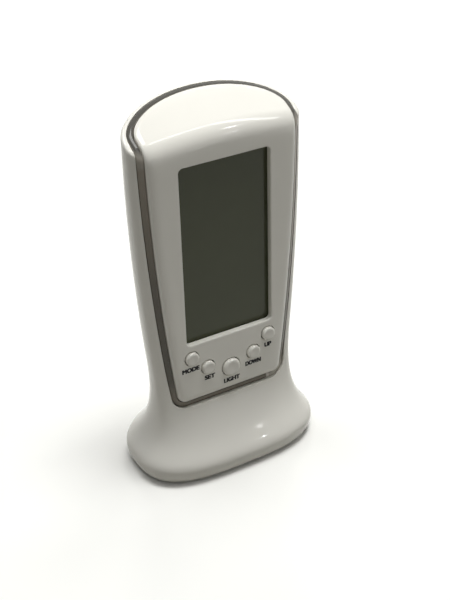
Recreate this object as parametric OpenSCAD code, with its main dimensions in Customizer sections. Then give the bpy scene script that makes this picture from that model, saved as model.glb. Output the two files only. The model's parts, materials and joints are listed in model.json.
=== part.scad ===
// Upright digital alarm clock: a leaning column with a display window, a light strip
// and five push buttons, flowing into a flared oval foot.
// Millimetres, +Z up, front towards -Y, origin in the middle of the foot on the ground.

/* [Column] */
// Height of the back rim of the roof
body_h = 134; // [130:0.5:142]
// Width of the column at the fold under the roof
head_w = 62.5; // [60:0.5:68]
// Width of the column at the neck above the foot
waist_w = 55.7; // [54:0.5:60]
// How far each side bows out between neck and fold
side_bow = 1; // [0:0.1:2]
// Depth of the head, from the panel to the back
head_d = 22.3; // [22:0.1:26]
// Height where the bow of the back begins
bow_z = 15; // [8:0.5:20]
// Depth of the widest line behind the panel
widest_d = 7.3; // [6.8:0.1:8.5]
// How far the shell's own front face stands back from the panel
front_set = 2.4; // [1.5:0.1:3]
// Squareness of the column's front corners
front_square = 3; // [2.4:0.1:3.6]
// Squareness of the column's back corners
back_square = 2.1; // [2:0.05:2.6]
// Backward lean of the column, in degrees
lean = 3; // [0:0.5:5]
// Wall of the rear shell
shell_wall = 1.8; // [1.5:0.1:2.1]

/* [Foot] */
// Width of the foot
foot_w = 71; // [68:0.5:80]
// Depth of the foot
foot_d = 44; // [42:0.5:52]
// Squareness of the foot's front half
foot_front_square = 3; // [2.2:0.1:3.4]
// Squareness of the foot's back half
foot_back_square = 2.2; // [2:0.1:2.8]
// Height of the foot's widest line
rim_h = 6; // [5:0.5:8]
// How far the rim rounds in under its widest line
rim_round = 2.5; // [1.5:0.1:3.5]
// Height of the neck, where the flare ends
neck_z = 45; // [42:0.5:48]
// Pull of the convex shoulder of the flare
shoulder_pull = 6; // [4:0.5:9]
// Pull of the hollow part of the flare
hollow_pull = 32; // [26:0.5:36]
// Gap from the ground to the edge of the shell
foot_gap = 0.6; // [0.4:0.1:1]

/* [Front cover] */
// Place of the panel in front of the foot's middle, at window height
panel_set = 7.2; // [6:0.1:8.5]
// Wall of the front cover
cover_wall = 2; // [1.6:0.1:2.4]
// Rise of the roof for each millimetre of depth
roof_slope = 0.45; // [0.35:0.01:0.55]
// How much lower the roof is at its sides
roof_crown = 2.4; // [1:0.1:3.5]
// Radius of the bend between panel and roof
bend_r = 7; // [5:0.5:9]
// How far the panel's edge rolls back to the strip
edge_roll = 1.7; // [1:0.1:2.2]
// Width of the rolled edge
roll_w = 3; // [2:0.1:4]

/* [Light strip] */
// Visible width of the strip
guide_w = 2.3; // [1.8:0.1:3]
// Thickness of the strip
guide_t = 3.5; // [2.5:0.1:4]
// Draft of the strip's outer side
guide_draft = 0.5; // [0.4:0.05:0.8]
// Shell rim left outside the strip at the roof
rim_w = 1.8; // [1.6:0.1:2.6]
// Shell side left outside the strip at the bottom
low_margin = 3.6; // [2.6:0.1:4.6]
// Height of the strip's bottom edge above the ground
mouth_z = 26.2; // [24:0.2:28]
// Corner radius of the strip's bottom corners
mouth_r = 5.5; // [4:0.1:7]
// Step from the panel plane down to the strip at the bottom
low_drop = 1.4; // [0.8:0.1:2]
// Step from the roof down to the strip's outer edge
roof_drop = 1.4; // [0.8:0.1:2]
// Gap between neighbouring shell pieces
seam = 0.12; // [0.08:0.01:0.3]

/* [Window and display] */
// Width of the window
window_w = 33.5; // [30:0.1:35]
// Panel left above the window, up to the fold
window_top = 7.575; // [7:0.05:12]
// Panel left below the window for the buttons, down to the strip's bottom edge
window_low = 25.4; // [24:0.1:30]
// Corner radius of the window
window_r = 1.6; // [1:0.1:3]
// Border of the display glass hidden round the window
glass_border = 1.4; // [1:0.1:1.6]
// Thickness of one glass plate
plate_t = 1.1; // [0.7:0.1:1.2]
// Thickness of the foam gasket
gasket_t = 0.3; // [0.2:0.05:0.6]
// Thickness of the polariser film
film_t = 0.2; // [0.15:0.05:0.3]
// Thickness of the backlight panel
backlight_t = 2.2; // [1.8:0.1:2.4]
// Wall of the display frame
frame_wall = 0.8; // [0.6:0.1:1]
// Clearance round pieces that drop into place
drop_in = 0.1; // [0.05:0.01:0.2]

/* [Buttons] */
// Diameter of the four small buttons
small_d = 5; // [4.5:0.1:5.4]
// Diameter of the light button
big_d = 6.8; // [6:0.1:7.4]
// Sideways place of the outer buttons
outer_x = 15.2; // [14.6:0.1:16]
// Sideways place of the inner buttons
inner_x = 9.1; // [8.6:0.1:9.6]
// Drop of the light button below the window's edge
row_drop = 13.9; // [13:0.1:15]
// How much higher the outer buttons sit than the light button
smile = 8.7; // [7:0.1:9]
// How far the buttons stand proud
button_rise = 1.2; // [1:0.1:1.5]
// Travel of a button
button_travel = 0.8; // [0.5:0.05:0.9]
// Gap round a button
button_gap = 0.3; // [0.3:0.05:0.4]
// Diameter of a button's stem
stem_d = 2.2; // [1.8:0.1:2.6]
// Side of a tact switch
switch_w = 4.5; // [4:0.1:5]
// Height of a tact switch
switch_h = 1.9; // [1.6:0.1:2.2]

/* [Batteries] */
// Diameter of one AAA cell
cell_d = 10.5; // [10:0.1:10.7]
// Length of one AAA cell
cell_l = 44.5; // [42:0.1:45]
// Number of cells side by side
cells = 3; // [2:1:3]
// Room left for the springs and contacts
spring_room = 5; // [4:0.1:5.5]
// Wall of the battery tray
tray_wall = 1; // [0.8:0.1:1.2]
// Clearance round each cell
cell_play = 0.25; // [0.2:0.05:0.4]
// Height of the tray's bottom above the ground
tray_z = 38.5; // [38.2:0.1:40]
// Gap round the battery door
door_gap = 0.35; // [0.3:0.05:0.6]
// Radius of the door's hinge pins
pin_r = 0.8; // [0.7:0.05:0.9]
// Radial clearance of the hinge pins
pin_play = 0.05; // [0.02:0.01:0.09]
// Depth of the hinge pins inside the door's skin
hinge_in = 1; // [0.95:0.05:1.1]
// Width of a hinge lug
lug_w = 2; // [1.5:0.1:2.4]
// Half width of the door's middle tab between the lugs
tab_half = 4.9; // [4:0.1:5]
// Gap between the tray and the shell behind it
tray_gap = 0.5; // [0.4:0.1:1]
// Room between the outer cells and the door
door_room = 0.35; // [0.3:0.05:0.6]

/* [Board and fasteners] */
// Thickness of the circuit board
board_t = 1.2; // [0.8:0.1:1.6]
// Diameter of the case screws
case_screw_d = 2.6; // [2.2:0.1:3]
// Diameter of the board and base screws
small_screw_d = 2; // [1.7:0.1:2.2]
// Radial clearance of a screw in its boss
screw_play = 0.05; // [0.03:0.01:0.1]
// Wall of a screw boss
boss_wall = 1.3; // [1.1:0.1:1.6]
// Thickness of the base plate
base_t = 2; // [1.6:0.1:2.4]
// Diameter of a rubber foot
pad_d = 8; // [6:0.5:9]
// Diameter of the potted clock chip
chip_d = 9; // [6:0.5:10]
// Diameter of the quartz crystal can
crystal_d = 2.1; // [2:0.1:3.1]
// Length of the quartz crystal can
crystal_l = 6; // [5:0.1:8]
// Diameter of the capacitor
cap_d = 5; // [4:0.1:6]
// Length of the capacitor
cap_l = 7; // [5:0.1:8]
// Diameter of the thermistor bead
bead_d = 2.4; // [2:0.1:3]
// Diameter of the buzzer
buzzer_d = 20; // [16:0.5:21]
// Thickness of the buzzer
buzzer_t = 3.5; // [3:0.1:4.5]

/* [Hidden] */
$fn = 48;
eps = 0.02;
over = 20;
rad = PI / 180;

white_plastic = "#f2f1ec";
smoke_clear = "#8a8a84";
dark_glass = "#3c3d33";

function mix(a, b, t) = a + (b - a) * t;
function clamp01(t) = max(0, min(1, t));
function spow(v, p) = sign(v) * pow(abs(v), p);
function flat(lists) = [for (l = lists) for (v = l) v];

// Column: half width, back depth and the lean of the panel plane at a height
fold_z = body_h - roof_slope * (head_d - rim_w);
window_h = fold_z - window_top - mouth_z - window_low;
window_z = mouth_z + window_low + window_h / 2;
function rise(z) = (z - neck_z) / (fold_z - neck_z);
function half_w(z) = mix(waist_w, head_w, rise(z)) / 2 + 4 * side_bow * rise(z) * (1 - rise(z));
function bow_share(z) = let (t = clamp01((z - bow_z) / (fold_z - bow_z))) 4 * t * (1 - t);
function bow(z) = back_bow * bow_share(z);
function back_d(z) = head_d - widest_d + bow(z);
function lean_y(z) = -panel_set + (z - window_z) * tan(lean);

// Flare of the foot: height and share of the foot outline along one S-shaped curve
function flare_z(t) = rim_h * pow(1 - t, 3) + 3 * (rim_h + shoulder_pull) * pow(1 - t, 2) * t
    + 3 * (neck_z - hollow_pull) * (1 - t) * t * t + neck_z * t * t * t;
function flare_share(t) = 1 - t * t * (3 - 2 * t);
function flare_t(z, lo = 0, hi = 1, n = 24) = n == 0 ? (lo + hi) / 2
    : let (m = (lo + hi) / 2) flare_z(m) < z ? flare_t(z, m, hi, n - 1) : flare_t(z, lo, m, n - 1);
function share_at(z) = z >= neck_z ? 0 : z <= rim_h ? 1 : flare_share(flare_t(z));

// A point of the shell's skin: z, share of the foot outline, shrink of the rim, inset and angle
front_blend = 0.6;
function set_back(d) = (d + front_set + sqrt(pow(d - front_set, 2) + front_blend)) / 2;
function skin_point(z, share, shrink, inset, angle) =
    let (
        front = sin(angle) < 0,
        square = front ? front_square : back_square,
        foot_square = front ? foot_front_square : foot_back_square,
        depth = front ? widest_d : back_d(z),
        d = widest_d + depth * spow(sin(angle), 2 / square),
        d_set = front ? set_back(d) : d,
        pull = front ? (widest_d - front_set - inset) / (widest_d - front_set) : (depth - inset) / depth,
        col_x = (half_w(z) - inset) * spow(cos(angle), 2 / square),
        col_y = lean_y(z) + widest_d + (d_set - widest_d) * pull,
        foot_x = (foot_w / 2 - shrink - inset) * spow(cos(angle), 2 / foot_square),
        foot_y = (foot_d / 2 - shrink - inset) * spow(sin(angle), 2 / foot_square)
    )
    [mix(col_x, foot_x, share), mix(col_y, foot_y, share), z];
function skin_at(z, inset, angle) = skin_point(z, share_at(z), 0, inset, angle);

// Roof: depth of its back edge, crown and height of its edge
roof_back = head_d - rim_w;
roof_half = head_w / 2 - rim_w - seam;
function crown(x) = roof_crown * pow(x / (head_w / 2), 2);
function roof_edge_z(x, d) = body_h - roof_slope * (roof_back - d) - crown(x);

// Sheet of the front cover: a flat panel, a bend and a sloping roof, followed by one running length q
turn = atan2(1, roof_slope);
corner_z = fold_z + roof_drop * sqrt(1 + roof_slope * roof_slope);
bend_z = corner_z - bend_r * tan(turn / 2);
bend_l = bend_r * turn * rad;
function sheet_turn(q) = max(0, min(turn, (q - bend_z) / bend_r / rad));
function sheet_run(q) = max(0, q - bend_z - bend_l);
function sheet_d(q) = bend_r * (1 - cos(sheet_turn(q))) + sheet_run(q) * sin(turn);
function sheet_z(q) = min(q, bend_z) + bend_r * sin(sheet_turn(q)) + sheet_run(q) * cos(turn);
function sheet_point(u, q, drop) =
    let (
        a = sheet_turn(q + crown(u)),
        z = sheet_z(q + crown(u)) - crown(u) - drop * sin(a)
    )
    [u, lean_y(z) + sheet_d(q + crown(u)) + drop * cos(a), z];
// Point behind the sheet: straight back under the panel, straight down under the roof
function behind(u, q, drop, by) =
    let (p = sheet_point(u, q, drop), a = sheet_turn(q + crown(u)) * 90 / turn)
    [p[0], p[1] + by * cos(a), p[2] - by * sin(a)];
function sheet_q(u, d) =
    let (bend_d = bend_r * (1 - cos(turn)))
    (d < bend_d ? bend_z + bend_r * acos(1 - d / bend_r) * rad : bend_z + bend_l + (d - bend_d) / sin(turn))
    - crown(u);
function roof_share(q, u) = clamp01((q + crown(u) - bend_z) / bend_l);

// Mouth of the rear shell: half width at a height, and depth of the shell's skin beside it
function mouth_half(z) =
    half_w(z) - mix(low_margin, rim_w, clamp01((z - mouth_z) / (fold_z - mouth_z)));
function mouth_skin_d(z) =
    set_back(widest_d * (1 - pow(1 - pow(mouth_half(z) / half_w(z), front_square), 1 / front_square)));

// Outer edge of the light strip on the sheet: [u, q, drop], from the bottom middle to the roof's apex
corner_top = mouth_z + mouth_r;
corner_x = mouth_half(corner_top) - seam - mouth_r;
side_top = bend_z - crown(roof_half);
edge_right = concat(
    [for (i = [0:2]) [corner_x * i / 3, mouth_z + seam, low_drop]],
    [for (i = [0:5]) let (a = 90 * i / 6) [
        corner_x + mouth_r * sin(a),
        corner_top + seam - mouth_r * cos(a),
        mix(low_drop, mouth_skin_d(corner_top), i / 6)
    ]],
    [for (i = [0:11]) let (z = mix(corner_top + seam, side_top, i / 11)) [
        mouth_half(z) - seam, z, mouth_skin_d(z)
    ]],
    [for (i = [1:5]) let (d = widest_d * i / 5, q = sheet_q(roof_half, d - roof_drop * cos(turn) * i / 5)) [
        roof_half, q, mix(mouth_skin_d(side_top), roof_drop, roof_share(q, roof_half))
    ]],
    [for (i = [1:12]) let (
        a = 90 * i / 12,
        u = roof_half * spow(cos(a), 2 / back_square),
        d = widest_d + (roof_back - seam - widest_d) * spow(sin(a), 2 / back_square)
    ) [u, sheet_q(u, d - roof_drop * cos(turn)), roof_drop]]
);
edge_n = len(edge_right);
function mirrored(p) = [-p[0], p[1], p[2]];
edge_loop = concat(edge_right, [for (i = [edge_n - 2:-1:1]) mirrored(edge_right[i])]);

// The same edge moved inwards on the sheet, with its own drop
function inward(i) =
    let (
        n = len(edge_loop),
        t = edge_loop[(i + 1) % n] - edge_loop[(i + n - 1) % n],
        l = norm([t[0], t[1]])
    )
    [-t[1] / l, t[0] / l];
function moved_in(i, by, drop) =
    let (p = edge_loop[i], w = inward(i))
    [p[0] + w[0] * by, p[1] + w[1] * by, drop];
function inner_drop(i) = let (p = edge_loop[i]) mix(edge_roll, edge_roll * 0.5, roof_share(p[1], p[0]));
function on_sheet(p) = sheet_point(p[0], p[1], p[2]);

// Outline of the front cover on the sheet, right half, from the bottom corner to the apex
cover_right = [for (i = [2:edge_n - 2]) moved_in(i, guide_w + seam, inner_drop(i))];
cover_low_q = cover_right[0][1];
cover_top_q = cover_right[len(cover_right) - 1][1];

// Drop of the cover's skin near its edge
cover_marks = [-1, -0.985, -0.95, -0.88, -0.6, -0.3, 0, 0.3, 0.6, 0.88, 0.95, 0.985, 1];
function edge_distance(u, row) =
    let (
        p = cover_right[row],
        a = cover_right[max(0, row - 1)],
        b = cover_right[min(len(cover_right) - 1, row + 1)],
        lean_in = norm([b[0] - a[0], b[1] - a[1]]),
        side = (p[0] - abs(u)) * abs(b[1] - a[1]) / max(lean_in, eps)
    )
    min(side, p[1] - cover_low_q, cover_top_q - p[1] + (p[0] - abs(u)));
function roll(e, depth) = e >= roll_w ? 0 : depth * (1 - sqrt(max(0, 1 - pow(1 - max(0, e) / roll_w, 2))));

// Solid through a list of rings with equal point counts
module loft(rings, looped = false) {
    n = len(rings);
    m = len(rings[0]);
    half = m / 2;
    sides = [for (i = [0:looped ? n - 1 : n - 2]) for (j = [0:m - 1])
        let (a = i * m, b = ((i + 1) % n) * m, k = (j + 1) % m)
        each [[a + j, b + j, b + k], [a + j, b + k, a + k]]];
    ends = looped ? [] : [for (j = [0:half - 2])
        let (e = (n - 1) * m, k = m - 1 - j)
        each [[j, j + 1, k - 1], [j, k - 1, k], [e + j, e + k, e + k - 1], [e + j, e + k - 1, e + j + 1]]];
    polyhedron(flat(rings), concat(sides, ends), convexity = 10);
}

// Frame of the panel: x to the right, y into the panel, z up along it, from the window's middle
module on_panel() {
    translate([0, -panel_set, window_z]) rotate([-lean, 0, 0]) children();
}
// Plate lying in the panel frame from one depth to another
module plate(from, to) {
    translate([0, to, 0]) rotate([90, 0, 0]) linear_extrude(to - from) children();
}
module post(x, z, from, to, d) {
    translate([x, from, z]) rotate([-90, 0, 0]) cylinder(h = to - from, d = d);
}
module rounded(w, h, r) {
    square([w - 2 * r, h], center = true);
    square([w, h - 2 * r], center = true);
    for (x = [-1, 1], z = [-1, 1]) translate([x * (w / 2 - r), z * (h / 2 - r)]) circle(r);
}

// Depths of the display stack behind the panel plane
glass_d = cover_wall + gasket_t + film_t;
backlight_d = glass_d + 2 * plate_t;
sheet_gap = 0.2;
reflector_t = 0.15;
reflector_d = backlight_d + backlight_t;
board_d = reflector_d + reflector_t + sheet_gap;
board_back = board_d + board_t;
glass_w = window_w + 2 * glass_border;
glass_low = -window_h / 2 - glass_border;
glass_high = window_h / 2 + glass_border;
frame_half = glass_w / 2 + drop_in + frame_wall;
frame_d = cover_wall + gasket_t;
ledge_h = bend_z - crown(frame_half) - window_z - glass_high - frame_wall - 2 * drop_in;

// Buttons: name, sideways place, height on the panel and diameter
light_z = -window_h / 2 - row_drop;
function smile_z(x) = light_z + smile * pow(x / outer_x, 2);
button_spots = [
    [-outer_x, smile_z(outer_x), small_d],
    [-inner_x, smile_z(inner_x), small_d],
    [0, light_z, big_d],
    [inner_x, smile_z(inner_x), small_d],
    [outer_x, smile_z(outer_x), small_d]
];
ear_t = 1;
ear_h = 2;
ear_reach = 0.8;
ear_gap = 0.3;
ear_d = cover_wall + ear_gap;
switch_d = board_d - switch_h;
stem_tip = switch_d + 0.4;

// Case screws: bosses on the cover, posts on the shell
case_boss_d = case_screw_d + 2 * boss_wall;
case_high = [frame_half + case_boss_d / 2 + 0.4, window_h / 2 - case_boss_d];
case_low_z = mouth_z + guide_w + case_boss_d * 1.15;
case_low = [mouth_half(case_low_z) - guide_w - case_boss_d * 0.75, case_low_z - window_z];
case_spots = [for (s = [-1, 1]) each [[s * case_high[0], case_high[1]], [s * case_low[0], case_low[1]]]];
case_split = board_back + 1.4;
case_head_d = case_screw_d * 1.8;
case_head_t = 1.6;
head_seat = case_split + 4;

// Board outline and its screws
small_head_d = small_screw_d * 1.9;
small_head_t = 0.9;
base_screw_l = 6;
hole_play = 0.3;
board_half = frame_half + small_screw_d + 2 * boss_wall - 0.4;
board_screw_x = frame_half + small_screw_d / 2 + boss_wall + 0.15;
board_screw_z = [window_h * 0.15, -window_h * 0.32];
board_spots = [for (s = [-1, 1], z = board_screw_z) [s * board_screw_x, z]];
board_shoulder = case_high[1] - case_boss_d / 2 - 1;
board_low = light_z - switch_w / 2 - 1;
board_neck = outer_x + switch_w / 2 + 0.6;
board_tip = case_low[0] - case_boss_d / 2 - 0.7;
board_taper = case_low[1] + case_boss_d / 2 + 1.2;

// Depth of the shell's outer skin behind the panel at a sideways place and height
function back_share(x, z) = pow(1 - pow(min(0.99, x / half_w(z)), back_square), 1 / back_square);
function shell_back(x, z) = widest_d + back_d(z) * back_share(x, z);

// Battery tray behind the board, in the panel's frame
tray_in_w = cells * (cell_d + 2 * cell_play);
tray_in_l = cell_l + spring_room;
tray_w = tray_in_w + 2 * tray_wall;
tray_h = tray_in_l + 2 * tray_wall;
tray_foot = 0.6;
tray_d = board_back + tray_foot;
bay_d = tray_d + tray_wall;
tray_top = tray_z + tray_h;
tray_low = tray_z - window_z;
cell_pitch = cell_d + 2 * cell_play;
function cell_x(i) = (i - (cells - 1) / 2) * cell_pitch;
cell_mid_d = bay_d + cell_play + cell_d / 2;
door_low = tray_z + tray_wall;
door_high = tray_top - 2 * tray_wall;

// The back bows out just enough to clear the outer cells at the door's lower edge
cell_skin_d = cell_mid_d + cell_d / 2 + door_room + shell_wall;
cell_back_d = (cell_skin_d - widest_d) / back_share(cell_x(cells - 1), door_low);
back_bow = (cell_back_d - head_d + widest_d) / bow_share(door_low);
tray_back = min([for (z = [tray_z, tray_top]) shell_back(tray_w / 2, z)]) - shell_wall - tray_gap;
door_w = tray_in_w;
door_r = 2;

// Buzzer behind the grille
buzzer_z = tray_low + tray_h + buzzer_d / 2 + 3;
buzzer_wall = 1.2;
buzzer_room = buzzer_d + 2 * drop_in;
grille_d = 1.6;
grille_r = 4;
buzzer_seat = shell_back(buzzer_d / 2, window_z + buzzer_z) - shell_wall - buzzer_t - 0.5;

// Solid of the shell's wall between two angles, open at top and bottom
rim_steps = 3;
flare_steps = 10;
column_steps = 10;
lip = 0.6;
function top_z(angle) =
    sin(angle) < 0
        ? roof_edge_z(roof_half, widest_d * (1 - spow(-sin(angle), 2 / front_square)))
        : roof_edge_z(roof_half * spow(cos(angle), 2 / back_square),
                      widest_d + (roof_back - widest_d) * spow(sin(angle), 2 / back_square));
function wall_side(angle, inset) = concat(
    [for (i = [0:rim_steps - 1]) let (a = 90 * i / rim_steps)
        skin_point(rim_h - (rim_h - foot_gap) * cos(a), 1, rim_round * (1 - sin(a)), inset, angle)],
    [for (i = [0:flare_steps]) let (t = i / flare_steps)
        skin_point(flare_z(t), flare_share(t), 0, inset, angle)],
    [for (i = [1:column_steps]) let (high = top_z(angle) - (inset > 0 ? 0 : rim_w - lip))
        skin_point(mix(neck_z, high, i / column_steps), 0, 0, inset, angle)]
);
function wall_ring(angle) =
    let (
        outer = wall_side(angle, 0),
        inner = wall_side(angle, shell_wall),
        n = len(inner),
        r = rim_w - lip,
        high = top_z(angle),
        round_over = [for (a = [45, 90]) skin_point(high - r * (1 - sin(a)), 0, 0, r * (1 - cos(a)), angle)]
    )
    concat(outer, round_over, [for (i = [n - 1:-1:0]) inner[i]]);

column_step = 5;
module whole_wall() {
    loft([for (a = [360:-column_step:column_step]) wall_ring(a)], looped = true);
}
module back_wall() {
    loft([for (a = [150:-column_step:30]) wall_ring(a)]);
}

// Opening for the cover and strip, cut straight back to the widest line
module mouth_cut() {
    steps = 12;
    top = body_h + over;
    right = concat(
        [for (i = [0:6]) let (a = 90 * i / 6)
            [corner_x + seam + mouth_r * sin(a), corner_top - mouth_r * cos(a)]],
        [for (i = [1:steps]) let (z = mix(corner_top, fold_z, i / steps)) [mouth_half(z), z]],
        [[mouth_half(fold_z), top]]
    );
    n = len(right);
    outline = concat(right, [for (i = [n - 1:-1:0]) [-right[i][0], right[i][1]]]);
    translate([0, lean_y(fold_z) + widest_d, 0]) rotate([90, 0, 0])
        linear_extrude(3 * over) polygon(outline);
}

// Outline of the battery door in the shell's back, as a prism, grown all round and at its lower edge
module door_prism(grow, low_grow) {
    low = door_low - low_grow;
    high = door_high + grow;
    translate([0, lean_y(door_low) + widest_d, (low + high) / 2]) rotate([-90, 0, 0])
        linear_extrude(2 * over) rounded(door_w + 2 * grow, high - low, door_r + grow);
}

// Hinge of the door: stub pins at its lower edge, clipped into two lugs on the tray
hinge_z = door_low + hinge_in;
hinge_y = skin_at(hinge_z, 0, 90)[1] - hinge_in;
swing_gap = hinge_in * (sqrt(2) - 1) + door_gap;
lug_r = pin_r + pin_play + 0.6;
lug_x = tab_half + door_gap + lug_w / 2;
notch_w = lug_w + 2 * door_gap;
module along_x(x, y, z, length, r) {
    translate([x - length / 2, y, z]) rotate([0, 90, 0]) cylinder(h = length, r = r);
}

// Solid core of the shell, inset from its skin, between two heights
module shell_core(low, high, inset) {
    steps = 10;
    count = 48;
    loft([for (k = [0:steps]) let (z = mix(low, high, k / steps))
        [for (i = [0:count - 1]) skin_at(z, inset, 360 * i / count)]]);
}

module front_cover() {
    rows = len(cover_right);
    function depth_at(row) = cover_right[row][2];
    function row_pts(row, extra) = [for (m = cover_marks)
        let (u = m * cover_right[row][0], q = cover_right[row][1])
        behind(u, q, roll(edge_distance(u, row), depth_at(row)), extra)];
    function reversed(l) = [for (i = [len(l) - 1:-1:0]) l[i]];
    color(white_plastic) difference() {
        union() {
            loft([for (r = [0:rows - 1]) concat(row_pts(r, 0), reversed(row_pts(r, cover_wall)))]);
            on_panel() {
                for (s = case_spots) post(s[0], s[1], cover_wall - 0.5, case_split, case_boss_d);
                for (s = board_spots)
                    post(s[0], s[1], cover_wall - 0.5, board_d, small_screw_d + 2 * boss_wall);
            }
        }
        on_panel() {
            plate(-over, glass_d) rounded(window_w, window_h, window_r);
            for (b = button_spots) post(b[0], b[1], -over, glass_d, b[2] + 2 * button_gap);
            for (s = case_spots)
                post(s[0], s[1], cover_wall + 1, case_split + over, case_screw_d + 2 * screw_play);
            for (s = board_spots)
                post(s[0], s[1], cover_wall + 1, board_d + over, small_screw_d + 2 * screw_play);
        }
    }
}

module light_guide() {
    color(smoke_clear, 0.7) loft([for (i = [0:len(edge_loop) - 1])
        let (
            o = edge_loop[i],
            o_back = moved_in(i, guide_draft, o[2]),
            p = moved_in(i, guide_w, inner_drop(i))
        )
        [
            on_sheet(o), behind(o_back[0], o_back[1], o_back[2], guide_t),
            behind(p[0], p[1], p[2], guide_t), on_sheet(p)
        ]], looped = true);
}

// Bosses for the base screws hang from the foot's sloping wall
base_boss_d = small_screw_d + 2 * boss_wall;
base_low = foot_gap + 0.3;
base_high = base_low + base_t;
base_reach = [foot_w * 0.345, foot_d * 0.295];
base_angles = [0, 90, 180, 270];
function base_spot(angle) = [base_reach[0] * cos(angle), base_reach[1] * sin(angle)];
function wall_z(angle, reach, lo = 0, hi = 1, n = 20) =
    let (m = (lo + hi) / 2, p = skin_point(flare_z(m), flare_share(m), 0, shell_wall * 0.4, angle))
    n == 0 ? flare_z(m)
    : norm([p[0], p[1]]) > reach ? wall_z(angle, reach, m, hi, n - 1) : wall_z(angle, reach, lo, m, n - 1);
function base_boss_z(angle) = wall_z(angle, norm(base_spot(angle)) + base_boss_d / 2);

module rear_shell() {
    post_d = case_head_d + 2 * boss_wall;
    color(white_plastic) difference() {
        union() {
            difference() {
                whole_wall();
                mouth_cut();
                door_prism(door_gap, swing_gap);
            }
            intersection() {
                shell_core(mouth_z, fold_z, shell_wall * 0.4);
                on_panel() {
                    for (s = case_spots) post(s[0], s[1], case_split, head_d + over, post_d);
                    difference() {
                        post(0, buzzer_z, buzzer_seat, head_d + over, buzzer_room + 2 * buzzer_wall);
                        post(0, buzzer_z, 0, head_d + 2 * over, buzzer_room);
                    }
                }
            }
            for (a = base_angles) translate([base_spot(a)[0], base_spot(a)[1], base_high])
                cylinder(h = base_boss_z(a) - base_high, d = base_boss_d);
        }
        on_panel() {
            for (s = case_spots) {
                post(s[0], s[1], 0, head_d + over, case_screw_d + hole_play);
                post(s[0], s[1], head_seat, head_d + over, case_head_d + hole_play);
            }
            for (a = [0:60:300], r = [0, grille_r]) if (r > 0 || a == 0)
                post(r * cos(a), buzzer_z + r * sin(a), buzzer_seat + buzzer_t, head_d + over, grille_d);
        }
        for (a = base_angles) translate([base_spot(a)[0], base_spot(a)[1], 0])
            cylinder(h = base_boss_z(a) - 1.6, d = small_screw_d + 2 * screw_play);
    }
}

module foot_outline(inset) {
    count = 64;
    polygon([for (i = [0:count - 1])
        let (p = skin_point(foot_gap, 1, rim_round, inset, 360 * i / count))
        [p[0], p[1]]]);
}

pad_reach = [foot_w / 2 - 2 * pad_d, foot_d / 2 - 1.65 * pad_d];
pad_spots = [for (x = [-1, 1], y = [-1, 1]) [x * pad_reach[0], y * pad_reach[1]]];
pad_sink = 0.8;
pad_edge = 0.5;

module base_plate() {
    color(white_plastic) difference() {
        translate([0, 0, base_low]) linear_extrude(base_t) foot_outline(shell_wall + seam + 0.1);
        for (p = pad_spots) translate([p[0], p[1], -eps])
            cylinder(h = base_low + pad_sink + eps, d = pad_d + 2 * drop_in);
        for (a = base_angles) translate([base_spot(a)[0], base_spot(a)[1], -eps]) {
            cylinder(h = over, d = small_screw_d + hole_play);
            cylinder(h = base_low + 1 + eps, d = small_head_d + hole_play);
        }
    }
}

module rubber_feet() {
    color("#26262a") for (p = pad_spots) translate([p[0], p[1], 0]) {
        cylinder(h = base_low + pad_sink - pad_edge, d1 = pad_d - 2 * pad_edge, d2 = pad_d);
        translate([0, 0, base_low + pad_sink - pad_edge]) cylinder(h = pad_edge, d = pad_d);
    }
}

// Pan-head screw along +Z: the head's top at z = 0, the shank below
module screw(d, head_d, head_t, length) {
    difference() {
        union() {
            translate([0, 0, -head_t]) cylinder(h = head_t, d = head_d);
            translate([0, 0, -head_t - length]) cylinder(h = length + eps, d = d);
        }
        for (a = [0, 90]) rotate([0, 0, a]) translate([-head_d * 0.32, -head_d * 0.07, -head_t * 0.5])
            cube([head_d * 0.64, head_d * 0.14, head_t]);
    }
}

module base_screws() {
    color("silver") for (a = base_angles) translate([base_spot(a)[0], base_spot(a)[1], base_low + 0.1]) {
        length = min(base_screw_l, base_boss_z(a) - base_high - small_head_t);
        mirror([0, 0, 1]) screw(small_screw_d, small_head_d, small_head_t, length);
    }
}

module case_screws() {
    color("silver") on_panel() for (s = case_spots) translate([s[0], head_seat + case_head_t, s[1]])
        rotate([-90, 0, 0]) screw(case_screw_d, case_head_d, case_head_t, head_seat - cover_wall - 2);
}

module window_gasket() {
    color("#1c1c1c") on_panel() plate(cover_wall + eps, frame_d) difference() {
        square([glass_w, window_h + 2 * glass_border], center = true);
        square([window_w + 0.4, window_h + 0.4], center = true);
    }
}

module lcd_polariser() {
    color(dark_glass) on_panel() plate(frame_d, glass_d)
        square([glass_w - 0.4, window_h + 2 * glass_border - 0.4], center = true);
}

module lcd_glass() {
    color(dark_glass) on_panel() {
        plate(glass_d, glass_d + plate_t) translate([-glass_w / 2, glass_low])
            square([glass_w, glass_high - glass_low + ledge_h]);
        plate(glass_d + plate_t, backlight_d) translate([-glass_w / 2, glass_low])
            square([glass_w, glass_high - glass_low]);
    }
}

module backlight_panel() {
    color("#dfe6ea") on_panel() plate(backlight_d, reflector_d) translate([-glass_w / 2, glass_low])
        square([glass_w, glass_high - glass_low]);
}

module reflector_sheet() {
    color("white") on_panel() plate(reflector_d, reflector_d + reflector_t)
        translate([-glass_w / 2, glass_low]) square([glass_w, glass_high - glass_low]);
}

module lcd_frame() {
    low = glass_low - drop_in;
    high = glass_high + ledge_h + drop_in;
    color("#d8d8d2") on_panel() difference() {
        plate(frame_d, board_d) translate([-frame_half, low - frame_wall])
            square([2 * frame_half, high - low + 2 * frame_wall]);
        plate(frame_d - eps, board_d + eps) translate([-glass_w / 2 - drop_in, low])
            square([glass_w + 2 * drop_in, high - low]);
        plate(backlight_d, board_d + eps) for (s = [-1, 1]) translate([s * frame_half, led_z])
            square([2 * frame_half, led_w + 2 * hole_play], center = true);
    }
}

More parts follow.
